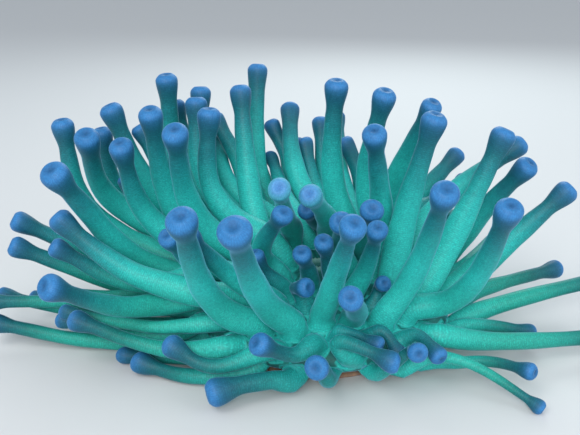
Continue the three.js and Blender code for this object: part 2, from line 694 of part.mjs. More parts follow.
// The bare middle of the oral disc, which dips a little into the mouth.
function discGeometry() {
  const half = MOUTH_FIELD / 2;
  return leanedLathe([[0, BODY_TOP_OF_COLUMN], [MOUTH_FIELD, BODY_TOP_OF_COLUMN],
    skinSection(MOUTH_FIELD), skinSection(half), [0, DISC_TOP - MOUTH_DIP]]);
}

// The lips: a low oval ring round the mouth slit, resting on the disc.
function lipGeometry() {
  const around = 20;
  const profile = [[-0.8, 0], [-1, 0.55], [0, 1], [1, 0.55], [1, 0]];
  const positions = [];
  for (let i = 0; i < around; i += 1) {
    const a = 2 * Math.PI * i / around;
    for (const [out, up] of profile) {
      const x = (LIP_LENGTH + LIP_THICKNESS * out) * Math.cos(a);
      const y = (LIP_WIDTH + LIP_THICKNESS * out) * Math.sin(a);
      positions.push(x, y, (DISC_TOP + GAP) * (1 + LEAN * y) + LIP_THICKNESS * up);
    }
  }
  const triangles = [];
  const sides = profile.length;
  for (let r = 0; r < around; r += 1) {
    const next = (r + 1) % around;
    for (let s = 0; s < sides; s += 1) {
      const t = (s + 1) % sides;
      triangles.push(r * sides + s, next * sides + t, next * sides + s);
      triangles.push(r * sides + s, r * sides + t, next * sides + t);
    }
  }
  return closedGeometry(positions, triangles);
}

function buildBody() {
  addPart('pedal_disc', pedalGeometry(), BODY_COLOUR);
  addPart('column', columnGeometry(), BODY_COLOUR);
  addPart('oral_disc', discGeometry(), MARGIN_COLOUR);
  addPart('mouth', lipGeometry(), LIP_COLOUR);
}

// Outline of the margin: its underside, the roll of its edge, and the disc in to the mouth
// field.
function sectorOutline() {
  const inner = MOUTH_FIELD + GAP;
  const lowest = Math.PI * EDGE_RADIUS;
  const outline = [[inner, BODY_TOP_OF_COLUMN]];
  outline.push([skinSection(DISC_RADIUS + lowest)[0], BODY_TOP_OF_COLUMN]);
  for (const roll of [0.75, 0.5, 0.25]) {
    outline.push(skinSection(DISC_RADIUS + roll * lowest));
  }
  for (const along of [DISC_RADIUS, 50, 34, inner]) {
    outline.push(skinSection(along));
  }
  return outline;
}

// The margin's sectors with the tentacles that are joined to them, and the other tentacles.
function buildCrown() {
  const tentacles = listTentacles();
  spreadRoots(tentacles);
  const lines = settle(tentacles, tentacles.map(drawLine));
  const share = 2 * Math.PI / SECTORS;
  const cut = radians(SECTOR_CUT) / 2;
  const sectors = Array.from({ length: SECTORS }, (unused, k) => toSolid(
    sweepGeometry(sectorOutline(), k * share + cut, (k + 1) * share - cut, SECTOR_STEPS)));
  tentacles.forEach((t, i) => {
    const geometry = tentacleGeometry(t, lines[i]);
    if (t.own) {
      addPart(`tentacle_${t.name}`, geometry, STALK_COLOUR);
    } else {
      const k = Math.floor(THREE.MathUtils.euclideanModulo(t.turn, 2 * Math.PI) / share);
      sectors[k] = sectors[k].add(toSolid(geometry));
    }
  });
  sectors.forEach((solid, k) => addPart(`margin_sector_${k + 1}`, fromSolid(solid), MARGIN_COLOUR));
}

buildBody();
buildCrown();

export default anemone;
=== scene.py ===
import math

import bpy
import numpy as np
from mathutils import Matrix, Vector
from mathutils.geometry import delaunay_2d_cdt


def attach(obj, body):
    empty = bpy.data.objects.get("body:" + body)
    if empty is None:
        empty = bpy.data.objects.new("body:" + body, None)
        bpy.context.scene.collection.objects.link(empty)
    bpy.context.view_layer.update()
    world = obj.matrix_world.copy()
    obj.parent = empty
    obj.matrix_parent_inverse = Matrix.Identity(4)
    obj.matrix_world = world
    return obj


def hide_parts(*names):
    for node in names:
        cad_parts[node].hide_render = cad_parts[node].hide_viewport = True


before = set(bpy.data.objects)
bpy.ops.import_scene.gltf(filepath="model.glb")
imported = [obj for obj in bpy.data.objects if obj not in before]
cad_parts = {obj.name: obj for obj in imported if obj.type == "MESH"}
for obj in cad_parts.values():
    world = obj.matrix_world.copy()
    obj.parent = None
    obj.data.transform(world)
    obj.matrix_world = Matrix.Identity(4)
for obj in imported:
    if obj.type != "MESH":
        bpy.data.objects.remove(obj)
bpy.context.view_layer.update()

# ------ Oral disc and margin
# The upper end of the animal's bag of a body is a low, wide dome of soft flesh that tips toward
# the front. Its margin rolls over and under. It is one skin with all that grows from it, so
# this section only says where that skin lies. Lengths are in millimetres up to the mesh.
DISC_RADIUS = 66
EDGE_RADIUS = 9
DISC_TOP = 39
DISC_DROP = 12
DROP_RADIUS = 70
LEAN = 0.003
EDGE_TOP = DISC_TOP - DISC_DROP * (DISC_RADIUS / DROP_RADIUS) ** 2
ROLL_END = DISC_RADIUS + math.pi * EDGE_RADIUS
SLOPE_STEP = 0.01
TINY = 1e-9


def body_outline(along):
    """Radius and height of the skin at a distance along it from the mouth. The disc is a
    parabola, the margin half a circle of EDGE_RADIUS, and past that the skin runs level
    inward under the disc."""
    along = np.asarray(along, float)
    roll = np.clip((along - DISC_RADIUS) / EDGE_RADIUS, 0, math.pi)
    under = np.maximum(along - ROLL_END, 0)
    on_disc = along <= DISC_RADIUS
    radius = np.where(on_disc, along, DISC_RADIUS + EDGE_RADIUS * np.sin(roll) - under)
    height = np.where(
        on_disc,
        DISC_TOP - DISC_DROP * (along / DROP_RADIUS) ** 2,
        EDGE_TOP - EDGE_RADIUS + EDGE_RADIUS * np.cos(roll),
    )
    return radius, height


def leaned(radius, turn, height):
    """Points at a radius, a turn from +X and a height, which grows by LEAN for each mm of y."""
    y = radius * np.sin(turn)
    return np.stack([radius * np.cos(turn), y, height * (1 + LEAN * y)], axis=-1)


def body_point(along, turn):
    """The point of the skin at a distance over it from the mouth, and a turn from +X."""
    radius, height = body_outline(along)
    return leaned(radius, turn, height)


def unit(vectors):
    """Vectors divided by their lengths."""
    return vectors / np.maximum(np.linalg.norm(vectors, axis=-1, keepdims=True), TINY)


def body_directions(along, turn):
    """The directions in the skin, outward and round, and square to it: their cross product."""
    outward = unit(body_point(along + SLOPE_STEP, turn) - body_point(along, turn))
    round_it = np.stack([-np.sin(turn), np.cos(turn), np.zeros_like(turn)], axis=-1)
    return outward, round_it, unit(np.cross(outward, round_it))


# ------ Where the tentacles are
# About a hundred tentacles grow from the disc in loose rings. The free ones stand up round the
# mouth and bend outward, and the low ones lie out from under them like a fringe.
EYE_DISTANCE = 410
EYE_ELEVATION = math.radians(20)
EYE_SINE, EYE_COSINE = math.sin(EYE_ELEVATION), math.cos(EYE_ELEVATION)
CROWN_MIDDLE = np.array([-18.0, -20.0, 75.0])
# A tentacle's ring (mm from the mouth over the skin) and turn (degrees from +X), its halfway
# point and its bulb across and up an upright plane through the crown's middle, the bulb's reach
# toward the eye, its radius, and 1 if it stands free or 0 if it lies low.
TENTACLES = {
    "back_left": [
        (72, 171, -111, 10, -122, 51, -20, 6.5, 1), (70, 160, -102, 10, -112, 40, 0, 7.0, 1),
        (80, 154, -92, 12, -101, 46, -45, 6.1, 0), (68, 146, -71, 11, -94, 58, -34, 6.8, 1),
        (60, -166, -81, 3, -92, 36, 20, 6.5, 1), (67, -174, -99, -16, -133, 19, 48, 7.2, 1),
        (82, 163, -79, 1, -89, 23, -56, 4.6, 0),
    ],
    "back": [
        (70, 134, -61, 29, -67, 74, -46, 6.6, 1), (80, 128, -53, 26, -62, 61, -75, 5.7, 0),
        (56, 180, -67, 12, -76, 55, 8, 6.7, 1), (58, 158, -71, 18, -87, 43, -45, 5.0, 0),
        (46, -168, -56, 7, -63, 44, 38, 6.7, 1), (62, 124, -41, 31, -42, 69, -70, 6.4, 1),
        (50, 146, -49, 26, -51, 61, -45, 6.6, 1), (36, -160, -46, 12, -46, 52, -6, 6.6, 1),
        (50, 122, -29, 21, -46, 50, -80, 5.6, 0), (38, 134, -34, 18, -41, 48, -92, 5.4, 0),
        (30, 172, -23, 21, -27, 68, -38, 6.5, 1), (54, 108, -17, 34, -16, 80, -74, 6.4, 1),
        (58, 96, -4, 19, -17, 48, -90, 5.4, 0), (32, 110, -4, 10, -12, 32, -90, 4.8, 0),
        (70, 114, -22, 12, -30, 36, -82, 4.6, 0), (40, 90, 1, 23, 0, 56, -95, 6.3, 0),
        (48, 76, 12, 15, 4, 41, -88, 5.6, 0), (70, 90, 8, 18, 4, 41, -102, 4.8, 0),
        (60, 78, 20, 21, 18, 52, -100, 5.8, 0), (26, 36, 21, 25, 24, 70, -6, 6.6, 1),
        (64, 64, 35, 15, 24, 37, -90, 6.0, 0), (46, 58, 29, 20, 27, 55, -112, 5.5, 0),
        (34, 25, 40, 25, 50, 65, 0, 6.7, 1), (32, -14, 48, 7, 45, 44, 42, 6.4, 1),
    ],
    "right": [
        (62, 50, 60, 27, 77, 60, -28, 6.4, 1), (46, -30, 62, 7, 77, 53, 30, 6.6, 1),
        (66, 36, 73, 10, 93, 33, -80, 5.9, 0), (62, -62, 72, -20, 84, 13, 84, 6.6, 1),
        (60, -36, 94, -1, 116, 44, 14, 6.6, 1), (46, -10, 87, 12, 124, 39, -26, 6.4, 1),
        (70, 8, 104, 4, 128, 28, -5, 6.6, 1), (66, -49, 100, -37, 119, 2, 78, 6.5, 1),
        (74, -22, 114, -17, 150, 14, -4, 6.6, 1), (66, -3, 97, -18, 114, -3, -80, 5.3, 0),
    ],
    "low_right": [
        (78, -8, 114, -36, 144, -28, -52, 5.8, 0), (78, -24, 129, -43, 175, -32, -16, 6.2, 1),
        (82, -35, 106, -58, 129, -62, -15, 5.0, 0), (80, -45, 128, -67, 177, -64, -10, 5.8, 1),
        (86, -53, 109, -74, 130, -80, 36, 4.6, 0), (84, -62, 98, -80, 134, -105, 40, 3.8, 0),
    ],
    "inner": [
        (22, 120, 1, -4, -2, 10, 32, 6.0, 1), (22, 66, 15, -2, 4, 10, 26, 6.1, 1),
        (36, 108, 15, -10, 14, -2, -15, 5.4, 0), (22, -45, 26, -15, 24, -5, 38, 5.9, 1),
        (24, 0, 42, -12, 47, 3, 34, 6.0, 1), (36, -68, 43, -25, 48, -7, 44, 5.4, 1),
        (66, -98, 23, -36, 34, -5, 88, 6.0, 1), (24, -85, 22, -27, 21, -11, 22, 5.2, 0),
        (38, -98, 12, -32, 9, -20, 20, 5.2, 0), (50, -138, -18, -19, -6, 1, 34, 5.5, 1),
        (40, -128, -12, -32, -18, -17, 8, 5.0, 0), (52, -111, -2, -45, 7, -45, 22, 5.1, 0),
        (60, -76, 34, -54, 32, -47, 65, 6.0, 1), (44, -46, 49, -40, 52, -40, 12, 4.4, 0),
    ],
    "left": [
        (70, -119, -48, -36, -59, -1, 98, 6.9, 1), (60, -142, -54, -35, -68, -19, 34, 5.6, 0),
        (70, -108, -20, -39, -31, -8, 108, 7.2, 1), (58, -122, -36, -34, -57, -14, 62, 5.6, 0),
    ],
    "low_left": [
        (80, 178, -100, -24, -148, -3, -16, 6.2, 0), (80, -172, -103, -39, -151, -21, -8, 6.0, 0),
        (66, -154, -89, -42, -125, -23, 4, 5.3, 0), (62, -134, -80, -38, -116, -3, 12, 6.4, 1),
        (80, -146, -87, -58, -128, -46, 60, 6.5, 1), (80, -143, -84, -57, -118, -50, -14, 4.2, 0),
        (84, -132, -76, -67, -114, -54, 8, 5.9, 0), (88, -143, -84, -65, -122, -55, -14, 4.6, 0),
        (82, -156, -106, -49, -157, -40, -20, 5.3, 0), (74, -154, -109, -51, -161, -51, -14, 5.2, 0),
        (82, -149, -106, -62, -160, -51, -14, 5.6, 0), (70, -166, -89, -48, -129, -44, -30, 4.8, 0),
        (82, -164, -95, -48, -139, -42, -40, 4.4, 0),
    ],
    "front": [
        (84, -116, -42, -81, -60, -70, 15, 5.8, 1), (86, -124, -53, -84, -78, -72, 8, 5.8, 1),
        (88, -140, -62, -73, -87, -65, -10, 4.8, 0), (82, -106, -19, -78, -39, -84, 32, 6.9, 1),
        (79, -105, -1, -76, -16, -70, 52, 5.7, 1), (83, -93, 19, -76, 15, -77, 54, 5.9, 1),
        (71, -94, 33, -67, 59, -76, 43, 5.5, 1), (74, -68, 61, -69, 63, -72, 44, 4.9, 0),
        (74, -58, 71, -68, 79, -77, 34, 4.7, 0), (67, -72, 48, -68, 49, -79, 23, 4.6, 0),
        (62, -87, 34, -63, 52, -71, 32, 4.2, 0),
    ],
}
# The fringe behind the crown: how many, ring, first and last turn, sway, length, bulb, heights.
REAR_ROWS = [
    (8, 80, 46, 140, 9, 70, 5.6, (26, 50)),
    (3, 54, 12, 42, 4, 50, 5.8, (62, 74)),
]
SWAY_STEP = 2.4


def plane_point(across, up, reach):
    """A point across and up the plane, moved by reach toward the eye along its sight line."""
    scale = (EYE_DISTANCE - reach) / EYE_DISTANCE
    y = up * scale * EYE_SINE - reach * EYE_COSINE
    z = up * scale * EYE_COSINE + reach * EYE_SINE
    return CROWN_MIDDLE + np.stack([across * scale, y, z], axis=-1)


def reach_of(points):
    """How far points lie from the crown's middle toward the eye."""
    apart = points - CROWN_MIDDLE
    return apart[..., 2] * EYE_SINE - apart[..., 1] * EYE_COSINE


def rear_fringe():
    """Rings, turns, ends and bulbs of the fringe: even turns, and a sine sway of the ends."""
    parts = []
    for count, ring, first, last, sway, length, bulb, heights in REAR_ROWS:
        i = np.arange(count)
        turn = np.radians(first + (last - first) * i / (count - 1))
        wander = turn + np.radians(sway * np.sin(SWAY_STEP * i))
        height = np.array(heights)[i % len(heights)]
        out = ring + length
        end = np.stack([out * np.cos(wander), out * np.sin(wander), height], axis=-1)
        parts.append((np.full(count, float(ring)), turn, end, np.full(count, bulb)))
    return [np.concatenate(part) for part in zip(*parts)]


names = [f"{group}_{i + 1}" for group, rows in TENTACLES.items() for i in range(len(rows))]
numbers = np.array([row for rows in TENTACLES.values() for row in rows], float)
rear_ring, rear_turn, rear_end, rear_bulb = rear_fringe()
placed, total = len(numbers), len(numbers) + len(rear_ring)
ring = np.concatenate([numbers[:, 0], rear_ring])
turn = np.concatenate([np.radians(numbers[:, 1]), rear_turn])
bulb = np.concatenate([numbers[:, 7], rear_bulb])
free = np.concatenate([numbers[:, 8], np.zeros(len(rear_ring))]) > 0
bulb_point = np.concatenate([plane_point(*numbers[:, 4:7].T), rear_end])

# ------ Roots
# A tentacle's root is a round patch of the disc. The roots crowd, and each gives way over the
# skin until its neighbours have room, outside the bare field round the mouth.
MOUTH_FIELD = 18
ROOT_SHARE = 0.75
ROOT_EXTRA = 2.2
ROOM = 2.2
SPREAD_ROUNDS = 300
SPREAD_SHARE = 0.4
INMOST_FREE = 3
OUTMOST_RING = 88
SECTORS = 8
CUT_CLEARANCE = 1.2
CUT_SHARE = 0.3
root_radius = ROOT_SHARE * bulb + ROOT_EXTRA


def spread_roots(ring, turn):
    """Each pair of roots nearer than their radii and ROOM slides apart over the skin by
    SPREAD_SHARE of what is lacking. Low ones also keep off the lines between the sectors."""
    wanted = root_radius[:, None] + root_radius[None] + ROOM
    inmost = MOUTH_FIELD + np.where(free, INMOST_FREE, root_radius + CUT_CLEARANCE)
    share = 2 * math.pi / SECTORS
    for _ in range(SPREAD_ROUNDS):
        place = body_point(ring, turn)
        outward, round_it, _ = body_directions(ring, turn)
        apart = place[:, None] - place[None]
        distance = np.linalg.norm(apart, axis=-1)
        np.fill_diagonal(distance, np.inf)
        lack = np.maximum(wanted - distance, 0)
        slide = (apart * (SPREAD_SHARE * lack / np.maximum(distance, TINY))[..., None]).sum(1)
        radius = body_outline(ring)[0]
        ring = np.clip(ring + (slide * outward).sum(-1), inmost, OUTMOST_RING)
        turn = turn + (slide * round_it).sum(-1) / radius
        off = turn - np.floor(turn / share + 0.5) * share
        clear = (root_radius + CUT_CLEARANCE) / body_outline(ring)[0]
        push = CUT_SHARE * np.where(off < 0, -1, 1) * np.maximum(clear - np.abs(off), 0)
        turn = turn + np.where(free, 0, push)
    return ring, turn


ring, turn = spread_roots(ring, turn)
root_point = body_point(ring, turn)
root_outward, _, root_normal = body_directions(ring, turn)

# ------ The lie of the stalks
# A stalk leaves the skin squarely, bends by its own weight, and lies against its neighbours and
# the floor. Its centre line is a chain of beads: drawn as a curve, then settled.
SAMPLES = 20
CURVE_STEPS = 80
LEAVE_LENGTH = 16
LEAVE_SHARE = 0.2
TIP_HANDLE = 0.3
HALF_DEPTH = 0.4
REAR_ARCH = 0.12
BULB_REACH = 0.8
NECK = 0.72
TAPER = 0.85
FLARE_START = 2.9
FLARE_END = 1.15
CAP_POWER = 2.4


def smoothstep(value, low, high):
    """The share of the way from low to high, eased: 3 times its square less twice its cube."""
    share = np.clip((value - low) / (high - low), 0, 1)
    return share * share * (3 - 2 * share)


def drawn_lines():
    """A Bezier curve through each halfway point that reaches the bulb straight from there,
    eased near the root into a line square to the skin, and cut into even steps."""
    chord = np.linalg.norm(bulb_point - root_point, axis=-1, keepdims=True)
    depth = (1 - HALF_DEPTH) * reach_of(root_point) + HALF_DEPTH * reach_of(bulb_point)
    half = (root_point + bulb_point) / 2
    half[placed:, 2] += REAR_ARCH * chord[placed:, 0]
    half[:placed] = plane_point(numbers[:, 2], numbers[:, 3], depth[:placed])
    handle_2 = bulb_point - TIP_HANDLE * chord * unit(bulb_point - half)
    handle_1 = (8 * half - root_point - bulb_point - 3 * handle_2) / 3
    t = np.linspace(0, 1, CURVE_STEPS + 1)[None, :, None]
    root = root_point[:, None]
    curve = (1 - t) ** 3 * root + 3 * (1 - t) ** 2 * t * handle_1[:, None]
    curve = curve + 3 * (1 - t) * t**2 * handle_2[:, None] + t**3 * bulb_point[:, None]
    far = np.linalg.norm(curve - root, axis=-1, keepdims=True)
    leave = np.minimum(LEAVE_LENGTH, LEAVE_SHARE * chord)[:, None]
    square = root + root_normal[:, None] * far
    points = square + (curve - square) * smoothstep(far, 0, leave)
    end = unit(points[:, -1:] - points[:, -2:-1])
    points = np.concatenate([points, points[:, -1:] + BULB_REACH * bulb[:, None, None] * end], 1)
    return np.stack([evenly(line, SAMPLES) for line in points])


def reach_along(lines):
    """How far each point of a line is along it."""
    steps = np.linalg.norm(np.diff(lines, axis=-2), axis=-1)
    return np.concatenate([np.zeros_like(steps[..., :1]), np.cumsum(steps, axis=-1)], axis=-1)


def at_reach(values, reach, wanted):
    """Rows of three values, read off between those of a line at the wanted reaches."""
    return np.stack([np.interp(wanted, reach, values[:, c]) for c in range(3)], axis=-1)


def evenly(line, count):
    """The points that part a polyline into even steps."""
    reach = reach_along(line)
    return at_reach(line, reach, np.linspace(0, reach[-1], count))


def stalk_profile(from_end, neck_ratio, taper, widest):
    """At distances before the ends: the radius, which tapers by a power from root to neck and
    flares smoothly to the bulb's widest place; the share of flare; the share of the way from
    neck to root."""
    b = bulb[:, None]
    neck = neck_ratio * b
    run = np.maximum(length[:, None] - FLARE_START * b, 1)
    share = np.clip((from_end - FLARE_START * b) / run, 0, 1)
    stalk = neck + (root_radius[:, None] - neck) * share**taper
    flare = 1 - smoothstep(from_end, widest * b, FLARE_START * b)
    return stalk + (b - stalk) * flare, flare, share


def bead_radii(from_end):
    """The profile's radius, closed over the bulb's end by a superellipse of CAP_POWER."""
    cap_share = np.clip(from_end / (FLARE_END * bulb[:, None]), 0, 1)
    cap = np.sqrt(np.maximum(1 - (1 - cap_share) ** CAP_POWER, 0))
    return stalk_profile(from_end, NECK, TAPER, FLARE_END)[0] * cap


beads = drawn_lines()
length = np.linalg.norm(np.diff(beads, axis=1), axis=-1).sum(1)
bead_radius = bead_radii(length[:, None] * np.linspace(1, 0, SAMPLES)[None])

SETTLE_ROUNDS = 220
FREE_ROUNDS = 60
PAIR_ROUNDS = 10
PAIR_MARGIN = 6
PUSH_SHARE = 0.7
FAST_BEADS = 2
CLEAR_OF_BODY = 1.4
FLOOR_PRESS = 0.92


def squares_apart(flat):
    """The square of the distance between every two beads, and the tentacle of each bead."""
    square = (flat**2).sum(1)
    apart = square[:, None] + square[None] - 2 * flat @ flat.T
    return apart, np.arange(len(flat)) // SAMPLES


def near_pairs(flat, radius):
    """Pairs of beads of different tentacles that could touch in the next rounds."""
    apart, chain = squares_apart(flat)
    reach = radius[:, None] + radius[None] + ROOM + PAIR_MARGIN
    return np.nonzero((apart < reach**2) & (chain[:, None] < chain[None]))


def off_body(place, radius):
    """Lifts beads over the disc clear of it, and moves beads beside it straight off its roll."""
    x, y, z = np.moveaxis(place, -1, 0)
    lean = 1 + LEAN * y
    out = np.hypot(x, y)
    over = out < DISC_RADIUS
    lifted = np.maximum(z, body_outline(out)[1] * lean + radius + CLEAR_OF_BODY)
    sideways = out - DISC_RADIUS
    upward = z - (EDGE_TOP - EDGE_RADIUS) * lean
    away = np.maximum(np.hypot(sideways, upward), TINY)
    lack = np.where(over, 0, np.maximum(EDGE_RADIUS + radius + CLEAR_OF_BODY - away, 0))
    aside = lack * sideways / away / np.maximum(out, TINY)
    z = np.where(over, lifted, z + lack * upward / away)
    return np.stack([x + aside * x, y + aside * y, z], axis=-1)


def settled(beads):
    """Each round, beads too near each other part by half of what is lacking, the shifts are
    smoothed along each chain but in the last rounds, and floor and body hold off what
    touches."""
    home, at = beads, beads.copy()
    radius = bead_radius.ravel()
    for step in range(SETTLE_ROUNDS):
        flat = at.reshape(-1, 3)
        if step % PAIR_ROUNDS == 0:
            a, b = near_pairs(flat, radius)
        apart = flat[a] - flat[b]
        distance = np.linalg.norm(apart, axis=1)
        lack = np.maximum(radius[a] + radius[b] + ROOM - distance, 0)
        each = 0.5 * apart * (lack / np.maximum(distance, TINY))[:, None]
        ends = np.concatenate([a, b])
        both = np.concatenate([each, -each])
        push = [np.bincount(ends, both[:, c], len(flat)) for c in range(3)]
        touches = np.bincount(ends, np.tile(lack > 0, 2), len(flat)).reshape(total, SAMPLES, 1)
        share = PUSH_SHARE / np.sqrt(np.maximum(touches, 1))
        shift = at + share * np.stack(push, axis=-1).reshape(at.shape) - home
        shift[:, 0] = 0
        if step < SETTLE_ROUNDS - FREE_ROUNDS:
            shift = smoothed(smoothed(shift))
        at = home + shift
        at[:, 1:, 2] = np.maximum(at[:, 1:, 2], FLOOR_PRESS * bead_radius[:, 1:])
        loose = slice(FAST_BEADS + 1, None)
        at[:, loose] = off_body(at[:, loose], bead_radius[:, loose])
    return at


def smoothed(shift):
    """Each bead takes half its own value and a quarter of each neighbour's. The root keeps its
    own, and the last bead takes the mean with the one before."""
    out = shift.copy()
    out[:, 1:-1] = (shift[:, :-2] + 2 * shift[:, 1:-1] + shift[:, 2:]) / 4
    out[:, -1] = (shift[:, -2] + shift[:, -1]) / 2
    return out


beads = settled(beads)

# ------ Mouth, lips and bare disc
# The mouth is a slit in the middle of the disc, drawn in a little, with a soft oval lip that is
# creased like a purse. Fine furrows run from it over the bare disc to the first tentacles.
LIP_LENGTH = 9
LIP_WIDTH = 5
LIP_RISE = 2.2
LIP_SPREAD = 0.3
LIP_CREASES = 15
CREASE_SHARE = 0.2
CREASE_SWAY = 0.7
SLIT_LENGTH = 6.4
SLIT_WIDTH = 1.7
SLIT_DEPTH = 4.5
SLIT_WALL = (0.2, 1.25)
MIDDLE_DIP = 1.5
DIP_FLAT = 2
FURROWS = 30
FURROW_DEPTH = 0.22
FURROW_STARTS = (11, 14)
FURROW_FADES = (30, 60)


def lip_share(flat):
    """How much of the lip's height a point of the disc has: a bell-shaped ridge on an oval."""
    across, deep = flat[..., 0] / LIP_LENGTH, flat[..., 1] / LIP_WIDTH
    oval = np.hypot(across, deep)
    return np.exp(-(((oval - 1) / LIP_SPREAD) ** 2))


def disc_relief(flat):
    """Height over the smooth disc: the dipped middle, the creased lip, the slit, and furrows
    that fade out where the margin starts."""
    out = np.hypot(flat[..., 0], flat[..., 1])
    turn = np.arctan2(flat[..., 1], flat[..., 0])
    creases = 1 + CREASE_SHARE * np.cos(LIP_CREASES * turn + CREASE_SWAY * np.sin(3 * turn))
    lip = LIP_RISE * creases * lip_share(flat)
    slit = np.hypot(flat[..., 0] / SLIT_LENGTH, flat[..., 1] / SLIT_WIDTH)
    slit = -SLIT_DEPTH * (1 - smoothstep(slit, *SLIT_WALL))
    dip = -MIDDLE_DIP * (1 - smoothstep(out, DIP_FLAT, MOUTH_FIELD))
    furrow = FURROW_DEPTH * np.cos(FURROWS * turn + np.sin(5 * turn))
    furrow = furrow * smoothstep(out, *FURROW_STARTS) * (1 - smoothstep(out, *FURROW_FADES))
    return lip + slit + dip + furrow


def disc_skin(flat):
    """Points of the skin for points of the flattened disc, whose distance from the middle is
    the distance over the skin from the mouth."""
    along = np.hypot(flat[..., 0], flat[..., 1])
    points = body_point(along, np.arctan2(flat[..., 1], flat[..., 0]))
    points[..., 2] += disc_relief(flat)
    return points


# ------ Stalks and bulbs
# Each tentacle is a hollow finger of thin, translucent flesh filled with water: a stalk with
# faint rings of muscle, a neck, and a swollen violet end with a pore in a shallow dimple. Its
# skin is a tube carried along the settled beads, with the disc's skin drawn up at its foot.
FINE_STEPS = 121
FOOT_HEIGHTS = np.array([0, 0.1, 0.35, 0.9, 2.0, 3.8, 6.3])
FOOT_ROOM = 13
LEAST_FOOT = 0.1
FOOT_EASE = 8
FOOT_FILLET = 0.8
FILLET_FADE = 1.3
FOOT_CLEARANCE = 0.25
FOOT_ROUNDS = 30
HOLE_STEPS = 49
SIDES_FREE = 24
SIDES_LOW = 17
STALK_RINGS = 20
FLARE_RINGS = 8
CAP_RINGS = 11
# The bulb's end, in bulb radii: where it is widest, its dome, its dimple and the rim round that.
GIRTH_PLACE = 0.85
CAP_HEIGHT = 0.72
DOME_POWER = 2.2
DIMPLE_DEPTH = 0.2
DIMPLE_WIDTH = 0.36
RIM_RISE = 0.05
RIM_PLACE = 0.56
RIM_WIDTH = 0.17
# Necks differ by chance, and are thicker at the back, and thinner in front and low down.
NECK_SPREAD = 0.035
BACK_NECK = 0.06
FRONT_NECK = 0.08
LOW_NECK = 0.05
BACK_OF_CROWN = (0, 70)
FRONT_OF_CROWN = (25, 75)
UPRIGHT_TIPS = (32, 72)
LOW_TAPER = 2.2
# Slow waves, one pinch, and a full lower half where it stands up, give each stalk its shape.
WAVE_SHARE = 0.028
WAVE_LENGTHS = (24, 40)
WAVE_FADE = 12
PINCH_DEPTH = 0.07
PINCH_WIDTH = 4.0
PINCH_PLACES = (0.3, 0.75)
BELLY_SHARE = 0.16
FRONT_BELLY = 0.03
BELLY_FULL = 0.6
BELLY_ROOM = 0.5
OVAL_SHARE = 0.025
# Each tentacle's skin is unrolled to a strip of its own on the skin's map (mm).
STRIP_WIDTH = 40
STRIP_HEIGHT = 156
STRIP_GAP = 4
STRIPS_ACROSS = 20
PALE_ONES = {"inner_1": 1.0, "inner_2": 0.8}

chance = np.random.default_rng(11)
neck_chance = chance.uniform(-1, 1, total)
wave_phase = chance.uniform(0, 2 * math.pi, (total, 2))
wave_length = chance.uniform(*WAVE_LENGTHS, total)
tone = chance.uniform(-1, 1, total)
pinch_place = chance.uniform(*PINCH_PLACES, total)
pinch_share = PINCH_DEPTH * chance.uniform(0, 1, total) ** 2
pale = np.array([PALE_ONES.get(name, 0.0) for name in names] + [0.0] * len(rear_ring))

upright = smoothstep(beads[:, -1, 2], *UPRIGHT_TIPS)[:, None]
in_front = smoothstep(-bulb_point[:, 1], *FRONT_OF_CROWN)
at_back = smoothstep(bulb_point[:, 1], *BACK_OF_CROWN)
neck_ratio = NECK + NECK_SPREAD * neck_chance + BACK_NECK * at_back
neck_ratio = neck_ratio - FRONT_NECK * in_front - LOW_NECK * (1 - upright[:, 0])
root_spread = ring / body_outline(ring)[0]


def tamed(beads):
    """Two light passes of smoothing that leave the root, its neighbour and the end alone."""
    out = beads.copy()
    for _ in range(2):
        mean = (out[:, 1:-3] + out[:, 3:-1]) / 2
        out[:, 2:-2] = (out[:, 2:-2] + mean) / 2
    return out


def fine_lines(beads):
    """A Catmull-Rom curve through the beads: the cubic with the slope of each neighbour pair."""
    first = 2 * beads[:, :1] - beads[:, 1:2]
    last = 2 * beads[:, -1:] - beads[:, -2:-1]
    points = np.concatenate([first, beads, last], axis=1)
    place = np.linspace(0, SAMPLES - 1, FINE_STEPS)
    start = np.minimum(place.astype(int), SAMPLES - 2)
    f = (place - start)[None, :, None]
    a, b, c, d = (points[:, start + i] for i in range(4))
    line = 2 * b + (c - a) * f + (2 * a - 5 * b + 4 * c - d) * f**2
    return 0.5 * (line + (3 * b - a - 3 * c + d) * f**3)


def carried_sides(line):
    """At each step of a line: its direction, and a side direction carried from the root's
    outward one by dropping what points along the line."""
    along = unit(np.gradient(line, axis=1))
    along[:, 0] = root_normal
    side = np.empty_like(line)
    side[:, 0] = root_outward
    for step in range(1, line.shape[1]):
        before = side[:, step - 1]
        lengthwise = (before * along[:, step]).sum(-1, keepdims=True)
        side[:, step] = unit(before - lengthwise * along[:, step])
    return along, side


def cap_profile():
    """Radius, height over the girth and reach over the skin from the pore of the rings of a
    bulb's cap, in bulb radii: a blunt dome, less a bell-shaped dimple, plus a low rim round it.
    The last ring is the pole."""
    angle = np.linspace(math.pi / 2, 0, CAP_RINGS + 2)[1:]
    share = np.sin(angle)
    height = CAP_HEIGHT * (1 - share**DOME_POWER) ** (1 / DOME_POWER)
    height = height - DIMPLE_DEPTH * np.exp(-((share / DIMPLE_WIDTH) ** 2))
    height = height + RIM_RISE * np.exp(-(((share - RIM_PLACE) / RIM_WIDTH) ** 2))
    return share, height, angle


def on_flat_disc(radius, angle, chosen):
    """Points round the roots on the flattened disc: circles, drawn wider round the margin,
    where the flattened disc is wider than the skin it stands for."""
    outward = ring[chosen, None] + np.outer(radius[chosen], np.cos(angle))
    sideways = np.outer(radius[chosen] * root_spread[chosen], np.sin(angle))
    cosine, sine = np.cos(turn[chosen])[:, None], np.sin(turn[chosen])[:, None]
    x = outward * cosine - sideways * sine
    return np.stack([x, outward * sine + sideways * cosine], axis=-1)


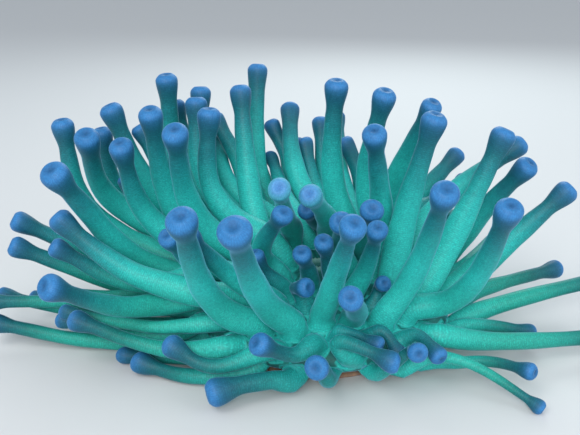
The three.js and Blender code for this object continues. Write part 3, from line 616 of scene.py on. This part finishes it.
def from_roots(flat):
    """Distances over the skin of points of the flattened disc from every root's middle."""
    x, y = flat[..., None, 0], flat[..., None, 1]
    outward = x * np.cos(turn) + y * np.sin(turn) - ring
    sideways = (y * np.cos(turn) - x * np.sin(turn)) / root_spread
    return np.hypot(outward, sideways)


def foot_radius():
    """Radius of each root's hole in the disc: the root and its fillet, less where the hole of
    the next root would come nearer than FOOT_CLEARANCE."""
    radius = root_radius + FOOT_FILLET
    everyone = np.arange(total)
    angle = np.linspace(0, 2 * math.pi, HOLE_STEPS)
    for _ in range(FOOT_ROUNDS):
        room = from_roots(on_flat_disc(radius, angle, everyone)).min(1)
        np.fill_diagonal(room, np.inf)
        lack = np.maximum(radius[None] + FOOT_CLEARANCE - room, 0)
        radius = radius - 0.5 * np.maximum(lack.max(1), lack.max(0))
    return radius


foot = foot_radius()
line = fine_lines(tamed(beads))
line_along, line_side = carried_sides(line)
line_reach = reach_along(line)
length = line_reach[:, -1]


def bead_room():
    """How far each bead's skin is from the nearest skin of another tentacle."""
    apart, chain = squares_apart(beads.reshape(-1, 3))
    radius = bead_radius.ravel()
    apart = np.sqrt(np.maximum(apart, 0)) - radius[:, None] - radius[None]
    apart[chain[:, None] == chain[None]] = np.inf
    return apart.min(1).reshape(total, SAMPLES)


def belly(ends, share):
    """How much a stalk swells in its lower half: a share of the bulb's radius, but no more
    than BELLY_ROOM of the room to the next tentacle."""
    room = np.maximum(bead_room(), 0)
    room = np.minimum(room, np.minimum(np.roll(room, 1, axis=1), np.roll(room, -1, axis=1)))
    risen = length[:, None] - ends
    place = risen / length[:, None] * (SAMPLES - 1)
    room = np.stack([np.interp(p, np.arange(SAMPLES), row) for p, row in zip(place, room)])
    full = BELLY_SHARE + (FRONT_BELLY - BELLY_SHARE) * in_front[:, None]
    wanted = upright * full * bulb[:, None] * smoothstep(share, 0, BELLY_FULL)
    return np.minimum(wanted, BELLY_ROOM * room) * smoothstep(risen, 0, WAVE_FADE)


def ring_stations():
    """Each ring's distance before the end, its radius, and its reach over the skin from the
    pore in bulb radii: the foot, the stalk, the flare and the cap. The radius swells and sinks
    in slow sine waves, and a bell-shaped pinch takes a little off."""
    b, whole = bulb[:, None], length[:, None]
    flare_start = FLARE_START * b
    stretch = np.clip((whole - flare_start) / FOOT_ROOM, LEAST_FOOT, 1)
    foot_ends = whole - stretch * FOOT_HEIGHTS
    share = np.linspace(0, 1, STALK_RINGS + 2)[None, 1:]
    stalk_ends = foot_ends[:, -1:] + (flare_start - foot_ends[:, -1:]) * share
    flare_ends = b * np.linspace(FLARE_START, GIRTH_PLACE, FLARE_RINGS + 1)[None, 1:]
    ends = np.concatenate([foot_ends, stalk_ends, flare_ends], axis=1)
    risen = whole - ends
    taper = LOW_TAPER + (TAPER - LOW_TAPER) * upright
    radius, flare, share = stalk_profile(ends, neck_ratio[:, None], taper, GIRTH_PLACE)
    wave = np.sin(2 * math.pi * ends / wave_length[:, None] + wave_phase[:, :1])
    wave = wave * smoothstep(risen, 0, WAVE_FADE) * (1 - flare)
    from_pinch = (ends - pinch_place[:, None] * whole) / PINCH_WIDTH
    pinch = pinch_share[:, None] * np.exp(-(from_pinch**2)) * (1 - flare)
    radius = (radius + belly(ends, share)) * (1 + WAVE_SHARE * wave - pinch)
    fillet = (foot - root_radius)[:, None] * np.exp(-risen / FILLET_FADE)
    cap_radius, cap_height, cap_reach = cap_profile()
    over_skin = math.pi / 2 + ends / b - GIRTH_PLACE
    cap_skin = np.broadcast_to(cap_reach, (total, len(cap_reach)))
    return (
        np.concatenate([ends, b * (GIRTH_PLACE - cap_height)], axis=1),
        np.concatenate([radius + fillet, b * cap_radius], axis=1),
        np.concatenate([over_skin, cap_skin], axis=1),
    )


ring_ends, ring_radius, from_pore = ring_stations()


def along_lines(values, from_end):
    """Values at distances before the end of each line."""
    rows = zip(values, line_reach, from_end)
    return np.stack([at_reach(value, reach, reach[-1] - before) for value, reach, before in rows])


ring_centre = along_lines(line, ring_ends)
ring_along = unit(along_lines(line_along, ring_ends))
ring_side = along_lines(line_side, ring_ends)
ring_side = unit(ring_side - (ring_side * ring_along).sum(-1, keepdims=True) * ring_along)
ring_across = np.cross(ring_along, ring_side)


BARE_FROM_PORE = 30.0
MARKS = ("from_pore", "tone", "pale", "column", "lip", "lie_x", "lie_y", "lie_z")
skin = {"points": [], "marks": [], "faces": [], "corners": [], "count": 0}


def add_points(points, marks):
    """Adds points (mm) and their marks, given by name, to the skin, and returns their numbers.
    A mark that isn't given is nought."""
    flat = points.reshape(-1, 3)
    columns = [np.broadcast_to(marks.get(name, 0.0), points.shape[:-1]).ravel() for name in MARKS]
    skin["points"].append(flat)
    skin["marks"].append(np.stack(columns, axis=-1))
    skin["count"] += len(flat)
    return np.arange(skin["count"] - len(flat), skin["count"]).reshape(points.shape[:-1])


def add_faces(faces, corners):
    """Adds faces, rows of point numbers, and the map place in mm of each of their corners."""
    skin["faces"].append(faces.reshape(-1, faces.shape[-1]))
    skin["corners"].append(corners.reshape(-1, 2))


def grid_faces(numbers):
    """Four-sided faces of closed grids, whose rows are rings of points."""
    low, high = numbers[..., :-1, :], numbers[..., 1:, :]
    return np.stack([low, np.roll(low, -1, -1), np.roll(high, -1, -1), high], axis=-1)


def grid_corners(places):
    """Map places of the four corners of each face of a grid, in the same order."""
    low, high = places[..., :-1, :, :], places[..., 1:, :, :]
    corners = [low[..., :-1, :], low[..., 1:, :], high[..., 1:, :], high[..., :-1, :]]
    return np.stack(corners, axis=-2)


def tube_points(chosen, angle):
    """Rings of points, their marks, and the first rings' places on the flattened disc. Rings are
    slightly oval circles square to the line. The first lies on the disc, the next ease from it,
    and what would sink into the floor lies flat on it."""
    risen = length[chosen, None] - ring_ends[chosen]
    oval = OVAL_SHARE * np.cos(2 * (angle[None] - wave_phase[chosen, 1:]))
    swell = 1 + smoothstep(risen, 0, WAVE_FADE)[..., None] * oval[:, None]
    out = (ring_radius[chosen][..., None] * swell)[..., None]
    cosine, sine = np.cos(angle)[:, None], np.sin(angle)[:, None]
    sideways = cosine * ring_side[chosen][:, :, None] + sine * ring_across[chosen][:, :, None]
    points = ring_centre[chosen][:, :, None] + out * sideways
    holes = on_flat_disc(foot, angle, chosen)
    lack = disc_skin(holes) - points[:, 0]
    points += (1 - smoothstep(risen, 0, FOOT_EASE))[..., None, None] * lack[:, None]
    points[..., 2] = np.maximum(points[..., 2], 0)
    marks = {
        "from_pore": from_pore[chosen][..., None],
        "tone": tone[chosen][:, None, None],
        "pale": pale[chosen][:, None, None],
        "lie_x": out[..., 0] * cosine[:, 0],
        "lie_y": out[..., 0] * sine[:, 0],
        "lie_z": ring_ends[chosen][..., None],
    }
    marks = {name: np.broadcast_to(mark, points.shape[:-1]) for name, mark in marks.items()}
    return points, marks, holes


def strip_places(chosen, sides):
    """Places of the rings on the map: each tentacle's strip goes round it from side to side
    and from root to pore from top to bottom."""
    across, up = chosen % STRIPS_ACROSS, chosen // STRIPS_ACROSS
    column = (STRIP_WIDTH + STRIP_GAP) * across[:, None] + STRIP_GAP / 2
    column = column + STRIP_WIDTH * np.arange(sides + 1) / sides
    whole = length[chosen] + bulb[chosen] * (math.pi / 2 - GIRTH_PLACE)
    row = whole[:, None] - bulb[chosen, None] * from_pore[chosen]
    row = row + (STRIP_HEIGHT + STRIP_GAP) * up[:, None] + STRIP_GAP / 2
    return np.stack(np.broadcast_arrays(column[:, None], row[..., None]), axis=-1)


def tubes(chosen, sides):
    """Adds the skins of some tentacles, each closed by a fan of faces round its pole, and
    returns the numbers of their first rings and their places on the flattened disc."""
    points, marks, holes = tube_points(chosen, 2 * math.pi * np.arange(sides) / sides)
    rings = add_points(points[:, :-1], {name: mark[:, :-1] for name, mark in marks.items()})
    poles = add_points(points[:, -1, :1], {name: mark[:, -1, :1] for name, mark in marks.items()})
    places = strip_places(chosen, sides)
    add_faces(grid_faces(rings), grid_corners(places[:, :-1]))
    last = rings[:, -1]
    tips = [last, np.roll(last, -1, -1), np.broadcast_to(poles, last.shape)]
    tip_places = [places[:, -2, :-1], places[:, -2, 1:], places[:, -1, :-1]]
    add_faces(np.stack(tips, axis=-1), np.stack(tip_places, axis=-2))
    return rings[:, 0], holes


free_ones, low_ones = np.nonzero(free)[0], np.nonzero(~free)[0]
foot_rings = [tubes(free_ones, SIDES_FREE), tubes(low_ones, SIDES_LOW)]

# ------ Skin between the roots
# Between the roots the disc is bare skin, thin enough to let the folds under it show. It is one
# net of small three-sided faces that joins the feet of all the tentacles to the rolled margin.
UNDER_END = 97
RIM_POINTS = 168
STEPS = [(0, 13, 1.0), (13, 19, 1.7), (19, UNDER_END, 2.7)]
HOLE_MARGIN = 0.7
RIM_MARGIN = 0.6
SAME_POINT = 1e-7
DISC_PLACE = (105, 905)


def hex_grid(step, reach):
    """Points of a honeycomb grid, a step apart in rows that are the root of three quarters of
    a step apart, out to a distance on every side."""
    count = int(reach / step) + 2
    row, column = np.mgrid[-count : count + 1, -count : count + 1]
    x = step * (column + 0.5 * (row % 2))
    return np.stack([x, step * math.sqrt(0.75) * row], axis=-1).reshape(-1, 2)


def bare_points():
    """Points of the bare skin: grids, finer toward the mouth, clear of roots and rim."""
    parts = []
    for inner, outer, step in STEPS:
        grid = hex_grid(step, outer)
        out = np.hypot(grid[:, 0], grid[:, 1])
        parts.append(grid[(out >= inner) & (out < min(outer, UNDER_END - RIM_MARGIN * step))])
    grid = np.concatenate(parts)
    return grid[(from_roots(grid) > foot + HOLE_MARGIN).all(-1)]


def ring_edges(first, count):
    """Pairs of numbers that join a run of points into a closed ring."""
    numbers = first + np.arange(count)
    return np.stack([numbers, np.roll(numbers, -1)], axis=-1)


rim_turn = 2 * math.pi * np.arange(RIM_POINTS) / RIM_POINTS
rim_flat = UNDER_END * np.stack([np.cos(rim_turn), np.sin(rim_turn)], axis=-1)
bare_flat = np.concatenate([rim_flat, bare_points()])
bare_marks = {"from_pore": BARE_FROM_PORE, "lip": lip_share(bare_flat)}
bare_marks["lie_x"], bare_marks["lie_y"] = bare_flat.T
bare = add_points(disc_skin(bare_flat), bare_marks)

# The net is worked out on the flattened disc, from the roots' first rings, the bare points and
# the rim. A face whose corners all belong to one root would close its hole, so it is left out.
feet = [foot_ring for numbers, holes in foot_rings for foot_ring in zip(numbers, holes)]
sides = [len(hole) for _, hole in feet]
starts = np.cumsum([0] + sides)
net_numbers = np.concatenate([numbers for numbers, _ in feet] + [bare])
net_flat = np.concatenate([hole for _, hole in feet] + [bare_flat])
net_owner = np.concatenate([np.repeat(np.arange(total), sides), -1 - np.arange(len(bare))])
net_edges = np.concatenate([ring_edges(*run) for run in zip(starts, sides + [RIM_POINTS])])
net_points = [Vector(point) for point in net_flat.tolist()]
net = delaunay_2d_cdt(net_points, net_edges.tolist(), [], 0, SAME_POINT)
triangles = np.array(net[2])
owners = net_owner[triangles]
triangles = triangles[(owners != owners[:, :1]).any(1)]
a, b, c = (net_flat[triangles[:, k]] for k in range(3))
backward = np.cross(b - a, c - a) < 0
triangles[backward] = triangles[backward][:, ::-1]
add_faces(net_numbers[triangles], net_flat[triangles] + DISC_PLACE)

# ------ Column and foot
# Under the disc the body narrows to a short column, buff to orange in this animal, and spreads
# again into the foot it holds on with. The foot has a thin lobed edge and a flat underside.
COLUMN_OUTLINE = np.array([
    (62.4, 10.15), (61.1, 9.7), (59.7, 8.9), (58.3, 7.9), (57.6, 6.9), (57.8, 5.8), (58.8, 4.8),
    (60.3, 4.0), (61.8, 3.2), (62.8, 2.3), (63.0, 1.4), (62.4, 0.6), (61.2, 0.12), (60.0, 0.0),
    (48.0, 0.0), (34.0, 0.0), (20.0, 0.0), (8.0, 0.0),
])
COLUMN_MARK = np.array([0.25, 0.6, 0.9] + [1.0] * (len(COLUMN_OUTLINE) - 3))
LOBES = 17
LOBE_SWAY = 1.5
LOBE_DEPTH = 0.5
LOBE_RADIUS = 63
LOBE_WIDTH = 2.5
LOBE_TOP = 5
COLUMN_PLACE = (215, 805)
COLUMN_SPAN = 4 * UNDER_END
ROW_STEP = 5


def column_points():
    """The rings of the column and foot: the outline turned round Z, its heights leaning with
    the disc's, its radius waved where the foot's edge is lobed."""
    radius, height = COLUMN_OUTLINE[:, :1], COLUMN_OUTLINE[:, 1:]
    edge = np.exp(-(((radius - LOBE_RADIUS) / LOBE_WIDTH) ** 2)) * (height < LOBE_TOP)
    lobes = np.sin(LOBES * rim_turn + LOBE_SWAY * np.sin(3 * rim_turn))
    radius = radius - LOBE_DEPTH * edge * (1 - lobes[None]) / 2
    return leaned(radius, rim_turn[None], height)


column_marks = {"from_pore": BARE_FROM_PORE, "column": COLUMN_MARK[:, None]}
column_rings = add_points(column_points(), column_marks)
underside = add_points(np.zeros((1, 3)), {"from_pore": BARE_FROM_PORE, "column": 1.0})
rows = np.concatenate([bare[None, :RIM_POINTS], column_rings])[::-1]
column = COLUMN_SPAN * np.arange(RIM_POINTS + 1) / RIM_POINTS
places = np.stack(np.meshgrid(column, ROW_STEP * np.arange(len(rows))), axis=-1) + COLUMN_PLACE
add_faces(grid_faces(rows), grid_corners(places))
inmost = column_rings[-1]
tips = np.stack([np.roll(inmost, -1), inmost, np.broadcast_to(underside, inmost.shape)], axis=-1)
add_faces(tips, places[0, :1] + np.zeros((RIM_POINTS, 3, 2)))

# ------ One skin
# The living animal has no seams: foot, column, disc and tentacles are one sheet of flesh, so
# they are one closed mesh here. Its colours follow the marks that each part has given it.
MAP_SIZE = 1000.0
MM = 0.001


def skin_mesh(name):
    """The skin as a mesh in metres, with its marks on its points and its map as UVs."""
    mesh = bpy.data.meshes.new(name)
    faces = [row for block in skin["faces"] for row in block.tolist()]
    mesh.from_pydata((MM * np.concatenate(skin["points"])).tolist(), [], faces)
    mesh.polygons.foreach_set("use_smooth", np.ones(len(faces), bool))
    marks = np.concatenate(skin["marks"])
    for column, mark in enumerate(MARKS):
        layer = mesh.attributes.new(mark, "FLOAT", "POINT")
        layer.data.foreach_set("value", np.ascontiguousarray(marks[:, column], np.float32))
    skin_map = mesh.uv_layers.new(name="OFBake")
    corners = np.concatenate(skin["corners"]) / MAP_SIZE
    skin_map.data.foreach_set("uv", corners.astype(np.float32).ravel())
    mesh.update()
    return mesh


def in_scene(name, data):
    """An object that shows the data, linked to the scene."""
    made = bpy.data.objects.new(name, data)
    bpy.context.scene.collection.objects.link(made)
    return made


anemone = in_scene("anemone_skin", skin_mesh("anemone_skin"))
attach(anemone, "root")
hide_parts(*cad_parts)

# The stalks' green comes from algae in the flesh, the ends' blue violet from a pigment of their
# own, strongest on the shoulder round the pore. Colours stand at their reach from the pore.
ROUGHNESS = (0.44, 0.58)
FLESH = {
    "Specular IOR Level": 0.25,
    "Subsurface Weight": 0.12,
    "Subsurface Radius": (0.6, 1.0, 0.9),
    "Subsurface Scale": 0.003,
    "Sheen Weight": 0.45,
    "Sheen Roughness": 0.25,
    "Sheen Tint": (0.3, 0.62, 1.0, 1),
}
COLOUR_REACH = 13.5
TENTACLE_COLOURS = [
    (0.0, (34, 96, 146)), (0.3, (44, 112, 168)), (0.7, (55, 130, 190)),
    (1.05, (59, 134, 196)), (1.35, (54, 125, 181)), (1.65, (42, 111, 151)),
    (2.0, (33, 102, 128)), (2.6, (28, 102, 117)), (3.3, (26, 109, 119)),
    (4.4, (28, 126, 133)), (6.2, (34, 156, 154)), (8.8, (45, 188, 180)),
    (13.0, (52, 198, 188)),
]
PALE_COLOURS = [
    (0.0, (80, 140, 204)), (0.6, (92, 160, 214)), (1.2, (94, 190, 212)),
    (2.0, (80, 202, 204)), (5.0, (52, 190, 182)), (12.5, (36, 176, 166)),
]


def linear(colour):
    """A screen colour (0 to 255) as linear light, by undoing the sRGB curve."""
    share = np.array(colour) / 255
    low = share / 12.92
    high = ((share + 0.055) / 1.055) ** 2.4
    return (*np.where(share <= 0.04045, low, high).tolist(), 1.0)


class Works:
    """A node tree with short ways to add a node, set its sockets and link it."""

    def __init__(self, tree):
        self.tree = tree

    def add(self, kind, inputs=None, **settings):
        made = self.tree.nodes.new("ShaderNode" + kind)
        for name, value in settings.items():
            setattr(made, name, value)
        for socket, value in (inputs or {}).items():
            if isinstance(value, bpy.types.NodeSocket):
                self.tree.links.new(value, made.inputs[socket])
            else:
                made.inputs[socket].default_value = value
        return made

    def mark(self, name):
        return self.add("Attribute", attribute_name=name).outputs["Fac"]

    def sum(self, operation, a, b=0.0, c=0.0):
        return self.add("Math", {0: a, 1: b, 2: c}, operation=operation).outputs[0]

    def times(self, a, b, plus=0.0):
        return self.sum("MULTIPLY_ADD", a, b, plus)

    def wave(self, angle):
        """A sine wave between 0 and 1."""
        return self.times(self.sum("SINE", angle), 0.5, 0.5)

    def span(self, value, low, high, to_low=0.0, to_high=1.0):
        """The value's place between low and high, held there, as one between two others."""
        ends = {"From Min": low, "From Max": high, "To Min": to_low, "To Max": to_high}
        return self.add("MapRange", {"Value": value, **ends}).outputs[0]

    def noise(self, place, scale, detail=2.0, rough=0.5):
        inputs = {"Vector": place, "Scale": scale, "Detail": detail, "Roughness": rough}
        return self.add("TexNoise", inputs).outputs["Fac"]

    def ramp(self, value, stops, reach=1.0):
        made = self.add("ValToRGB", {"Fac": self.sum("DIVIDE", value, reach)})
        elements = made.color_ramp.elements
        while len(elements) < len(stops):
            elements.new(0.5)
        for element, (place, colour) in zip(elements, stops):
            element.position = place / reach
            element.color = linear(colour)
        return made.outputs["Color"]

    def mix(self, share, a, b, blend="MIX"):
        sockets = {0: share, 6: a, 7: b}
        return self.add("Mix", sockets, data_type="RGBA", blend_type=blend).outputs[2]


flesh = bpy.data.materials.new("anemone_flesh")
flesh.use_nodes = True
flesh.node_tree.nodes.clear()
works = Works(flesh.node_tree)
place = works.add("TexCoord").outputs["Object"]
pore_reach = works.mark("from_pore")
lie_x, lie_y, lie_z = (works.mark(name) for name in ("lie_x", "lie_y", "lie_z"))
lie = works.add("CombineXYZ", {0: lie_x, 1: lie_y, 2: lie_z}).outputs[0]
lie_turn = works.sum("ARCTAN2", lie_y, lie_x)

# The violet ends raggedly past the girth, by a slow noise and by the tone of each tentacle. Two
# tentacles by the mouth are pale.
PAST_GIRTH = (1.4, 3.5)
RAGGED_SCALE = 130.0
RAGGED_SHIFT = 1.6
TONE_SHIFT = 0.35
past_girth = works.span(pore_reach, *PAST_GIRTH)
ragged = works.noise(place, RAGGED_SCALE)
ragged = works.times(ragged, RAGGED_SHIFT, -RAGGED_SHIFT / 2)
shifted = works.times(ragged, past_girth, pore_reach)
toned = works.times(past_girth, TONE_SHIFT)
shifted = works.times(works.mark("tone"), toned, shifted)
colour = works.ramp(shifted, TENTACLE_COLOURS, COLOUR_REACH)
pale_colour = works.ramp(shifted, PALE_COLOURS, COLOUR_REACH)
colour = works.mix(works.mark("pale"), colour, pale_colour)

# Bare disc: paler and darker turquoise rays, darkened as painted shade; lips paler; column buff with
# orange blotches.
RAYS = 30.0
RAY_SCALE = 60.0
BARE_SKIN = (20.0, 30.0)
SHADED_RAY_COLOURS = ((26, 108, 104), (38, 134, 128))
LIP_COLOUR = (150, 205, 196)
BLOTCH_NOISE = (160.0, 4.0)
BLOTCH_COLOURS = [(0.35, (140, 110, 92)), (0.65, (182, 142, 114))]
rays = works.wave(works.times(lie_turn, RAYS, works.noise(place, RAY_SCALE)))
shaded_disc_colour = works.mix(rays, linear(SHADED_RAY_COLOURS[0]), linear(SHADED_RAY_COLOURS[1]))
colour = works.mix(works.span(pore_reach, *BARE_SKIN), colour, shaded_disc_colour)
colour = works.mix(works.mark("lip"), colour, linear(LIP_COLOUR))
blotch = works.ramp(works.noise(place, *BLOTCH_NOISE), BLOTCH_COLOURS)
colour = works.mix(works.mark("column"), colour, blotch)

# Fine pleats run down from every pore over its bulb.
PLEATS = 36.0
PLEAT_SCALE = 0.5
PLEAT_SWAY = 5.0
PLEATED = (3.2, 2.2)
PLEAT_SHARE = 0.2
PLEAT_COLOUR = (34, 84, 132)
sway = works.times(works.noise(lie, PLEAT_SCALE), PLEAT_SWAY)
pleats = works.wave(works.times(lie_turn, PLEATS, sway))
pleats = works.times(pleats, works.span(pore_reach, *PLEATED))
colour = works.mix(works.times(pleats, PLEAT_SHARE), colour, linear(PLEAT_COLOUR))

# Stalks that lie far out and low (m) are duller and less blue: painted shade, an olive darkening.
FAR_OUT = (0.07, 0.11)
LYING_LOW = (0.06, 0.035)
ON_STALK = (2.0, 5.0)
LOW_SHADE_SHARE = 0.7
LOW_SHADE_TINT = (196, 198, 178)
how_far = works.add("VectorMath", {0: place}, operation="LENGTH").outputs["Value"]
how_high = works.add("SeparateXYZ", {0: place}).outputs["Z"]
low_shade = works.times(works.span(how_far, *FAR_OUT), works.span(how_high, *LYING_LOW))
low_shade = works.times(low_shade, works.span(pore_reach, *ON_STALK))
low_shade = works.times(low_shade, LOW_SHADE_SHARE)
colour = works.mix(low_shade, colour, linear(LOW_SHADE_TINT), "MULTIPLY")

# Faint mottling, the fine broken rings of muscle across every stalk, and a fine grain.
MOTTLE_NOISE = (320.0, 4.0, 0.6)
MOTTLE_SHARE = 0.55
MOTTLE_TINTS = [(0.3, (214, 220, 224)), (0.7, (255, 255, 255))]
RING_RATE = 5.9
RING_SCALE = 0.35
RING_SWAY = 9.0
BREAK_SCALE = 1.3
BREAK_ENDS = (0.38, 0.62)
RINGED = (1.2, 3.0, 0.15)
RING_CONTRAST = 0.4
RING_DARK = 0.89
GRAIN_NOISE = (1100.0, 3.0, 0.6)
GRAIN_SHARE = 0.6
GRAIN_TINTS = [(0.38, (206, 214, 220)), (0.62, (255, 255, 255))]
mottle = works.noise(place, *MOTTLE_NOISE)
tint = works.ramp(mottle, MOTTLE_TINTS)
colour = works.mix(MOTTLE_SHARE, colour, tint, "MULTIPLY")
sway = works.times(works.noise(lie, RING_SCALE), RING_SWAY)
rings = works.wave(works.times(lie_z, RING_RATE, sway))
broken = works.span(works.noise(lie, BREAK_SCALE), *BREAK_ENDS)
rings = works.times(works.times(rings, broken), works.span(pore_reach, *RINGED))
shade = works.times(rings, RING_CONTRAST, RING_DARK)
colour = works.mix(1.0, colour, shade, "MULTIPLY")
grain = works.noise(place, *GRAIN_NOISE)
speckle = works.ramp(grain, GRAIN_TINTS)
colour = works.mix(GRAIN_SHARE, colour, speckle, "MULTIPLY")

# Rings and grain stand up from the skin a little, and pleats are sunk in it.
RING_HEIGHT = 0.5
GRAIN_HEIGHT = 0.6
PLEAT_HEIGHT = -0.6
BUMP_SHARE = 0.35
BUMP_DEPTH = 0.00012
height = works.times(grain, GRAIN_HEIGHT)
height = works.times(rings, RING_HEIGHT, height)
height = works.times(pleats, PLEAT_HEIGHT, height)
bump = works.add("Bump", {"Strength": BUMP_SHARE, "Distance": BUMP_DEPTH, "Height": height})
skin_values = {
    "Base Color": colour,
    "Roughness": works.span(mottle, 0.0, 1.0, *ROUGHNESS),
    "Normal": bump.outputs[0],
}
surface = works.add("BsdfPrincipled", skin_values | FLESH)
works.add("OutputMaterial", {"Surface": surface.outputs[0]})
anemone.data.materials.append(flesh)

# ------ Floor, light and camera
# The model stands on a plain pale floor in soft studio light, seen from a little above.
FLOOR_HALF = 6.0
FLOOR_DROP = 0.0001
FLOOR_COLOUR = (0.6, 0.61, 0.62, 1)
FLOOR_ROUGHNESS = 0.8
SKY_COLOUR = (0.86, 0.93, 1.0, 1)
SKY_STRENGTH = 0.7
FILM_WIDTH = 36.0
FRAME_PIXELS = 580
FOCAL_PIXELS = 755
NEAR_CLIP = 0.01

corner = np.array([(-1, -1), (1, -1), (1, 1), (-1, 1)]) * FLOOR_HALF
floor_mesh = bpy.data.meshes.new("floor")
floor_mesh.from_pydata([(x, y, -FLOOR_DROP) for x, y in corner.tolist()], [], [(0, 1, 2, 3)])
floor = in_scene("floor", floor_mesh)
paint = bpy.data.materials.new("floor_paint")
paint.use_nodes = True
matt = paint.node_tree.nodes["Principled BSDF"]
matt.inputs["Base Color"].default_value = FLOOR_COLOUR
matt.inputs["Roughness"].default_value = FLOOR_ROUGHNESS
floor_mesh.materials.append(paint)

# name, size (m), power (W), place, colour
LAMPS = [
    ("key_lamp", 0.7, 5.0, (-0.5, -0.65, 1.0), (1.0, 0.98, 0.95)),
    ("fill_lamp", 0.9, 3.5, (0.9, -0.5, 0.6), (0.9, 0.97, 1.0)),
    ("front_lamp", 0.5, 7.5, (-0.1, -1.05, 0.6), (1.0, 1.0, 1.0)),
    ("back_lamp", 0.6, 5.0, (0.2, 0.95, 0.75), (0.9, 1.0, 1.0)),
]
aim = Vector(CROWN_MIDDLE * MM)
for name, size, power, where, light_colour in LAMPS:
    lamp = bpy.data.lights.new(name, "AREA")
    lamp.shape = "DISK"
    lamp.size = size
    lamp.energy = power
    lamp.color = light_colour
    holder = in_scene(name, lamp)
    holder.location = where
    holder.rotation_euler = (aim - Vector(where)).to_track_quat("-Z", "Y").to_euler()

world = bpy.data.worlds.new("studio")
world.use_nodes = True
sky = world.node_tree.nodes["Background"]
sky.inputs["Color"].default_value = SKY_COLOUR
sky.inputs["Strength"].default_value = SKY_STRENGTH
bpy.context.scene.world = world
bpy.context.scene.view_settings.view_transform = "Standard"

lens = bpy.data.cameras.new("eye")
lens.lens = FILM_WIDTH * FOCAL_PIXELS / FRAME_PIXELS
lens.sensor_width = FILM_WIDTH
lens.clip_start = NEAR_CLIP
camera = in_scene("eye", lens)
sight = Vector((0, -EYE_COSINE, EYE_SINE))
camera.location = aim + sight * (MM * EYE_DISTANCE)
camera.rotation_euler = (-sight).to_track_quat("-Z", "Y").to_euler()
bpy.context.scene.camera = camera

bpy.context.view_layer.update()
